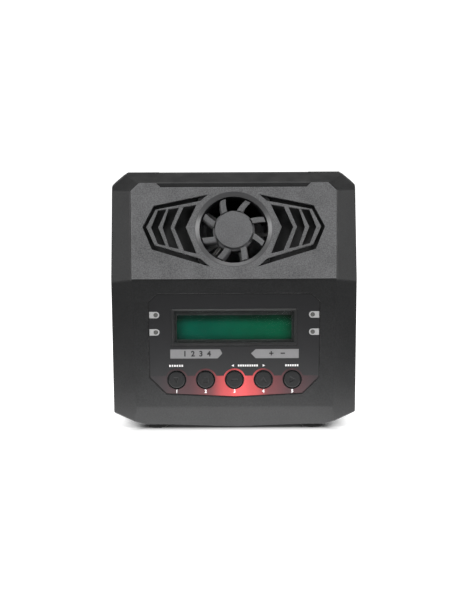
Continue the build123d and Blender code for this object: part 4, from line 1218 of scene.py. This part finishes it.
@dataclass
class Fan:
    """Axial fan: turned hub and eight cambered blades."""

    shop: Shop
    disc_radius: float = 10.55
    hub_radius: float = 11.8
    hub_top: float = -0.6
    hub_length: float = 7.3
    groove_depth: float = 3.2
    blade_count: int = 8
    blade_start: float = 22.6
    blade_root: float = 11.4
    blade_tip: float = 18.5
    blade_sweep: float = 3.9
    blade_front: float = -1.9
    face_width: float = 3.0
    blade_reach: float = 7.6
    face_pitch: float = 4.0
    flank_pitch: float = 82.0
    blade_thickness: float = 0.8
    strut_count: int = 5
    strut_start: float = -2.0
    strut_top: float = -10.2
    strut_reach: tuple[float, float] = (11.0, 18.9)
    strut_width: float = 2.1

    def hub(self) -> None:
        """Hub: a flat disc with rounded edge, set in a deep groove inside the wider cup."""
        top, disc, radius = self.hub_top, self.disc_radius, self.hub_radius
        low, ledge = top - self.hub_length, top - self.groove_depth
        rounded = [
            (disc - 0.35 + 0.35 * math.sin(t), top - 0.35 + 0.35 * math.cos(t))
            for t in (i * math.pi / 10.0 for i in range(6))
        ]
        profile = [(0.0, top), (disc * 0.5, top), *rounded, (disc, ledge), (radius - 0.25, ledge)]
        profile += [(radius, ledge - 0.25), (radius, low), (radius - 1.0, low)]
        profile += [(radius - 1.0, ledge - 1.2), (0.0, ledge - 1.2)]
        mesh = lathe(profile)
        mesh.transform(on_fan_axis())
        hub = link_piece("rotor_hub", mesh, self.shop.paints.get(ROTOR_GREY))
        seat(hub, Body.ROTOR, "fan_rotor")

    def section(self, length: float) -> list[Point2]:
        """Section of a blade: a nearly level face in front, then a steep flank.

        Args:
            length: Length along the section in millimetres.

        Returns:
            Points of shift round the axis and height, from the front edge on.
        """
        steps = 16
        shift, height = -self.face_width / 2.0, self.blade_front
        points = [(shift, height)]
        for number in range(steps):
            run = (number + 0.5) * length / steps
            bend = min(1.0, max(0.0, (run - self.face_width + 0.6) / 1.1))
            pitch = math.radians(self.face_pitch + (self.flank_pitch - self.face_pitch) * bend)
            shift += math.cos(pitch) * length / steps
            height -= math.sin(pitch) * length / steps
            points.append((shift, height))
        return points

    def blade(self) -> Mesh:
        """One blade that points along +X, its front edge on the clockwise side.

        Returns:
            The blade as a closed mesh.
        """
        along = 12
        shape = bmesh.new()
        rows = []
        for i in range(along + 1):
            share = i / along
            radius = self.blade_root + (self.blade_tip - self.blade_root) * share
            sweep = math.radians(self.blade_sweep * (1.0 - 2.0 * share))
            row = []
            for shift, height in self.section(self.blade_reach - 0.8 * (1.0 - share)):
                angle = sweep + shift / radius
                row.append(shape.verts.new((
                    radius * math.cos(angle) * MM, radius * math.sin(angle) * MM, height * MM,
                )))
            rows.append(row)
        for first, second in zip(rows, rows[1:]):
            for j in range(len(first) - 1):
                shape.faces.new((first[j], second[j], second[j + 1], first[j + 1]))
        helper = link_piece("blade", filled_mesh("blade", shape))
        wall = helper.modifiers.new("wall", "SOLIDIFY")
        wall.thickness = self.blade_thickness * MM
        wall.offset = 0.0
        round_edges = helper.modifiers.new("edges", "BEVEL")
        round_edges.width = 0.22 * MM
        round_edges.segments = 2
        round_edges.limit_method = "ANGLE"
        solid = evaluated_mesh(helper)
        discard(helper)
        smooth_by_angle(solid, 40.0)
        return solid

    def ringed(self, name: str, mesh: Mesh, finish: Finish, count: int, start: float) -> Object:
        """Repeat a mesh round the fan's axis.

        Args:
            name: The piece's name.
            mesh: The mesh to repeat, in the axis's own frame.
            finish: Its finish.
            count: How many copies.
            start: Angle of the first, in degrees.

        Returns:
            The piece in its place.
        """
        ring = self.shop.ring.bake(
            name, link_piece("one", mesh), self.shop.paints.get(finish), Count=count, Radius=0.0,
            Start=math.radians(start),
        )
        ring.transform(on_fan_axis())
        return link_piece(name, ring)

    def struts(self) -> None:
        """Pale flat sheets on the five struts behind the rotor: painted light where the struts catch light.
        """
        outer, inner, half = self.strut_reach[1], self.strut_reach[0], self.strut_width / 2.0
        mesh = flat_shape([[(inner, -half), (outer, -half), (outer, half), (inner, half)]], 0.3)
        mesh.transform(Matrix.Translation((0.0, 0.0, self.strut_top * MM)))
        # painted light on the struts
        strut_light = self.ringed("fan_strut_covers", mesh, STRUT_PAINTED_LIGHT, self.strut_count, self.strut_start)
        seat(strut_light, Body.CHARGER)

    def blades(self) -> None:
        """Eight blades round the hub."""
        blades = self.ringed("rotor_blades", self.blade(), ROTOR_GREY, self.blade_count, self.blade_start)
        seat(blades, Body.ROTOR, "fan_rotor")

    def build(self) -> None:
        """Make the rotor and dress the rest of the fan."""
        self.hub()
        self.blades()
        self.struts()
        self.shop.dress("fan_frame", "fan_bearing", "fan_stator", "fan_board", "fan_magnet", "fan_shaft")
        self.shop.dress("fan_screws", "fan_wires", "fan_connector")


@dataclass
class Housing:
    """Front and rear shells, vent panel, feet and case screws."""

    shop: Shop
    foot_radius: float = 6.1
    foot_height: float = 2.2
    foot_x: float = 44.0
    foot_y: float = 24.8

    def feet(self) -> None:
        """Four round rubber feet with a rounded rim and a shallow dimple below."""
        radius, height = self.foot_radius, self.foot_height
        rim = [
            (radius - 0.6 + 0.6 * math.cos(t), 0.6 - 0.6 * math.sin(t))
            for t in (i * math.pi / 12.0 for i in range(7))
        ]
        dimple = [(radius - 1.8, 0.0), (radius - 2.2, 0.3), (0.0, 0.3)]
        profile = [(0.0, height), (radius, height), *rim, *dimple]
        foot = link_piece("foot", lathe(profile, 64))
        mesh = self.shop.grid.bake(
            "feet", foot, self.shop.paints.get(FOOT_RUBBER), Columns=2, Rows=2,
            Column_Pitch=2.0 * self.foot_x * MM, Row_Pitch=2.0 * self.foot_y * MM,
        )
        seat(link_piece("rubber_feet", mesh), Body.CHARGER, "base_feet")

    def build(self) -> None:
        """Dress the shells and make the feet."""
        self.feet()
        self.shop.dress("front_case", "rear_case", "vent_panel", "case_screws")


@dataclass
class Inside:
    """Boards, power parts, sockets and inlets."""

    shop: Shop

    def build(self) -> None:
        """Dress every frame node that nothing else has dressed."""
        for node, piece in self.shop.nodes.items():
            if not piece.hide_render and not self.dressed(piece):
                self.shop.dress(node)

    def dressed(self, piece: Object) -> bool:
        """Whether a node already has one of the finishes."""
        names = set(self.shop.paints.made)
        return bool(piece.data.materials) and all(m and m.name in names for m in piece.data.materials)


# ---- Studio ----


@dataclass(frozen=True)
class SoftBox:
    """A rectangular soft light."""

    name: str
    place: tuple[float, float, float]
    target: tuple[float, float, float]
    size: Point2
    watts: float

    def build(self) -> None:
        """Make the light and aim it."""
        data = bpy.data.lights.new(self.name, "AREA")
        data.shape = "RECTANGLE"
        data.size, data.size_y = self.size
        data.energy = self.watts
        light = link(self.name, data)
        light.location = self.place
        aim = Vector(self.target) - Vector(self.place)
        light.rotation_euler = aim.to_track_quat("-Z", "Y").to_euler()


@dataclass(frozen=True)
class FloorPaper(Finish):
    """Pale paper that fades to pure white, reflects less further out, and has a painted contact shadow
    round the footprint.
    """

    tone: Point2 = (0.87, 0.89)
    pool: Point2 = (0.06, 0.2)
    far_share: float = 0.02
    glow: float = 2.6
    footprint: Point2 = (0.052, 0.031)
    lift: Point2 = (0.0, 1.0)
    lift_reach: Point2 = (-0.002, 0.022)
    # painted contact shadow: the paper's colour darkens round the charger's footprint
    painted_contact_shadow: Point2 = (0.3, 1.0)
    painted_shadow_reach: Point2 = (-0.004, 0.005)

    def inputs(self, graph: Graph) -> dict[str, object]:
        """Paper that is brighter to the eye than in reflections."""
        where, x, y, _ = graph.place()
        beyond = graph.math("MAXIMUM", *(
            graph.minus(graph.math("ABSOLUTE", side), reach)
            for side, reach in zip((x, y), self.footprint)
        ))
        tone = graph.spread(graph.noise(where, 60.0), 0.3, 0.7, self.tone)
        # painted contact shadow round the footprint
        tone = graph.times(tone, graph.spread(beyond, *self.painted_shadow_reach, self.painted_contact_shadow))
        near = graph.spread(graph.length(where), *self.pool, (1.0, self.far_share))
        seen = graph.add("ShaderNodeLightPath").outputs["Is Camera Ray"]
        shown = graph.times(seen, graph.spread(beyond, *self.lift_reach, self.lift))
        unseen = graph.times(graph.minus(1.0, seen), graph.times(near, self.glow))
        share = graph.times(tone, graph.math("MAXIMUM", near, seen))
        return {
            "Base Color": graph.tinted(PURE_WHITE, share),
            "Roughness": 0.9,
            "Specular IOR Level": 0.1,
            "Emission Color": (*PURE_WHITE, 1.0),
            "Emission Strength": graph.math("ADD", shown, unseen),
        }


@dataclass(frozen=True)
class PaleFloor:
    """Flat pale paper under the charger."""

    half_width: float = 1.6
    front: float = -0.75
    back: float = 1.2
    paper: FloorPaper = FloorPaper("floor_paper")

    def build(self) -> None:
        """Make the floor and stage it."""
        shape = bmesh.new()
        corners = [
            (-self.half_width, self.front), (self.half_width, self.front),
            (self.half_width, self.back), (-self.half_width, self.back),
        ]
        shape.faces.new([shape.verts.new((x, y, 0.0)) for x, y in corners])
        link_piece("floor", filled_mesh("floor", shape), self.paper.build())


@dataclass(frozen=True)
class WhiteRoom:
    """White surroundings with a dim patch behind the camera."""

    level: float = 0.2
    dim: float = 0.02
    patch: Point2 = (0.72, 0.97)
    shown: float = 1.2

    def build(self) -> None:
        """Make the world."""
        world = bpy.data.worlds.new("white_room")
        world.use_nodes = True
        graph = Graph(world.node_tree)
        background = world.node_tree.nodes["Background"]
        background.inputs["Color"].default_value = (*PURE_WHITE, 1.0)
        direction = graph.add("ShaderNodeTexCoord").outputs["Generated"]
        behind = Vector((0.0, -1.0, 0.0))
        level = graph.spread(graph.dot(direction, behind), *self.patch, (self.level, self.dim))
        seen = graph.add("ShaderNodeLightPath").outputs["Is Camera Ray"]
        strength = graph.math("MAXIMUM", level, graph.times(seen, self.shown))
        graph.feed(background.inputs["Strength"], strength)
        bpy.context.scene.world = world


@dataclass(frozen=True)
class Studio:
    """Pale floor, soft light and camera."""

    camera_elevation: float = 8.6
    camera_distance: float = 1.2
    camera_target: tuple[float, float, float] = (0.0005, -0.0327, 0.07045)
    camera_roll: float = -0.27
    lens: float = 126.5
    sensor: float = 36.0
    lights: tuple[SoftBox, ...] = (
        SoftBox("overhead", (0.0, 0.0, 0.9), (0.0, 0.0, 0.05), (0.6, 0.4), 2.0),
        SoftBox("left_key", (-0.8, -0.6, 0.64), (0.0, -0.02, 0.1), (0.3, 0.45), 5.2),
        SoftBox("right_key", (0.8, -0.6, 0.64), (0.0, -0.02, 0.1), (0.3, 0.45), 5.5),
        SoftBox("left_strip", (-0.8, 0.0, 0.3), (0.0, -0.02, 0.11), (0.2, 0.3), 1.0),
        SoftBox("right_strip", (0.8, 0.0, 0.3), (0.0, -0.02, 0.11), (0.2, 0.3), 1.1),
    )

    def camera(self) -> None:
        """Camera in front of the display, a little above it."""
        data = bpy.data.cameras.new("camera")
        data.lens = self.lens
        data.sensor_width = self.sensor
        data.sensor_fit = "AUTO"
        data.clip_end = 100.0
        camera = link("camera", data)
        tilt = math.radians(self.camera_elevation)
        away = Vector((0.0, -math.cos(tilt), math.sin(tilt)))
        aim = (-away).to_track_quat("-Z", "Y").to_matrix().to_4x4()
        roll = Matrix.Rotation(math.radians(self.camera_roll), 4, "Z")
        place = Matrix.Translation(Vector(self.camera_target) + away * self.camera_distance)
        camera.matrix_world = place @ aim @ roll
        bpy.context.scene.camera = camera

    def build(self) -> None:
        """Make the floor, the room, the lights and the camera."""
        PaleFloor().build()
        WhiteRoom().build()
        for light in self.lights:
            light.build()
        self.camera()
        bpy.context.scene.view_settings.view_transform = "Standard"


def clear_scene() -> None:
    """Remove what a new Blender file starts with."""
    for thing in list(bpy.data.objects):
        bpy.data.objects.remove(thing)


def main() -> None:
    """Load the frame and build every sub-assembly."""
    logging.basicConfig(level=logging.INFO, format="%(name)s: %(message)s")
    clear_scene()
    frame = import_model()
    by_slot = {finish.name: finish for finish in SLOT_FINISHES}
    finishes = {entry["node"]: by_slot[entry["material_slot"]] for entry in frame["record"]["subparts"]}
    shop = Shop(frame["nodes"], finishes)
    Studio().build()
    for kind in (Housing, ControlFace, Display, Buttons, Fan, Inside):
        kind(shop).build()
        LOG.info("built %s", kind.__name__)


if __name__ == "__main__":
    main()
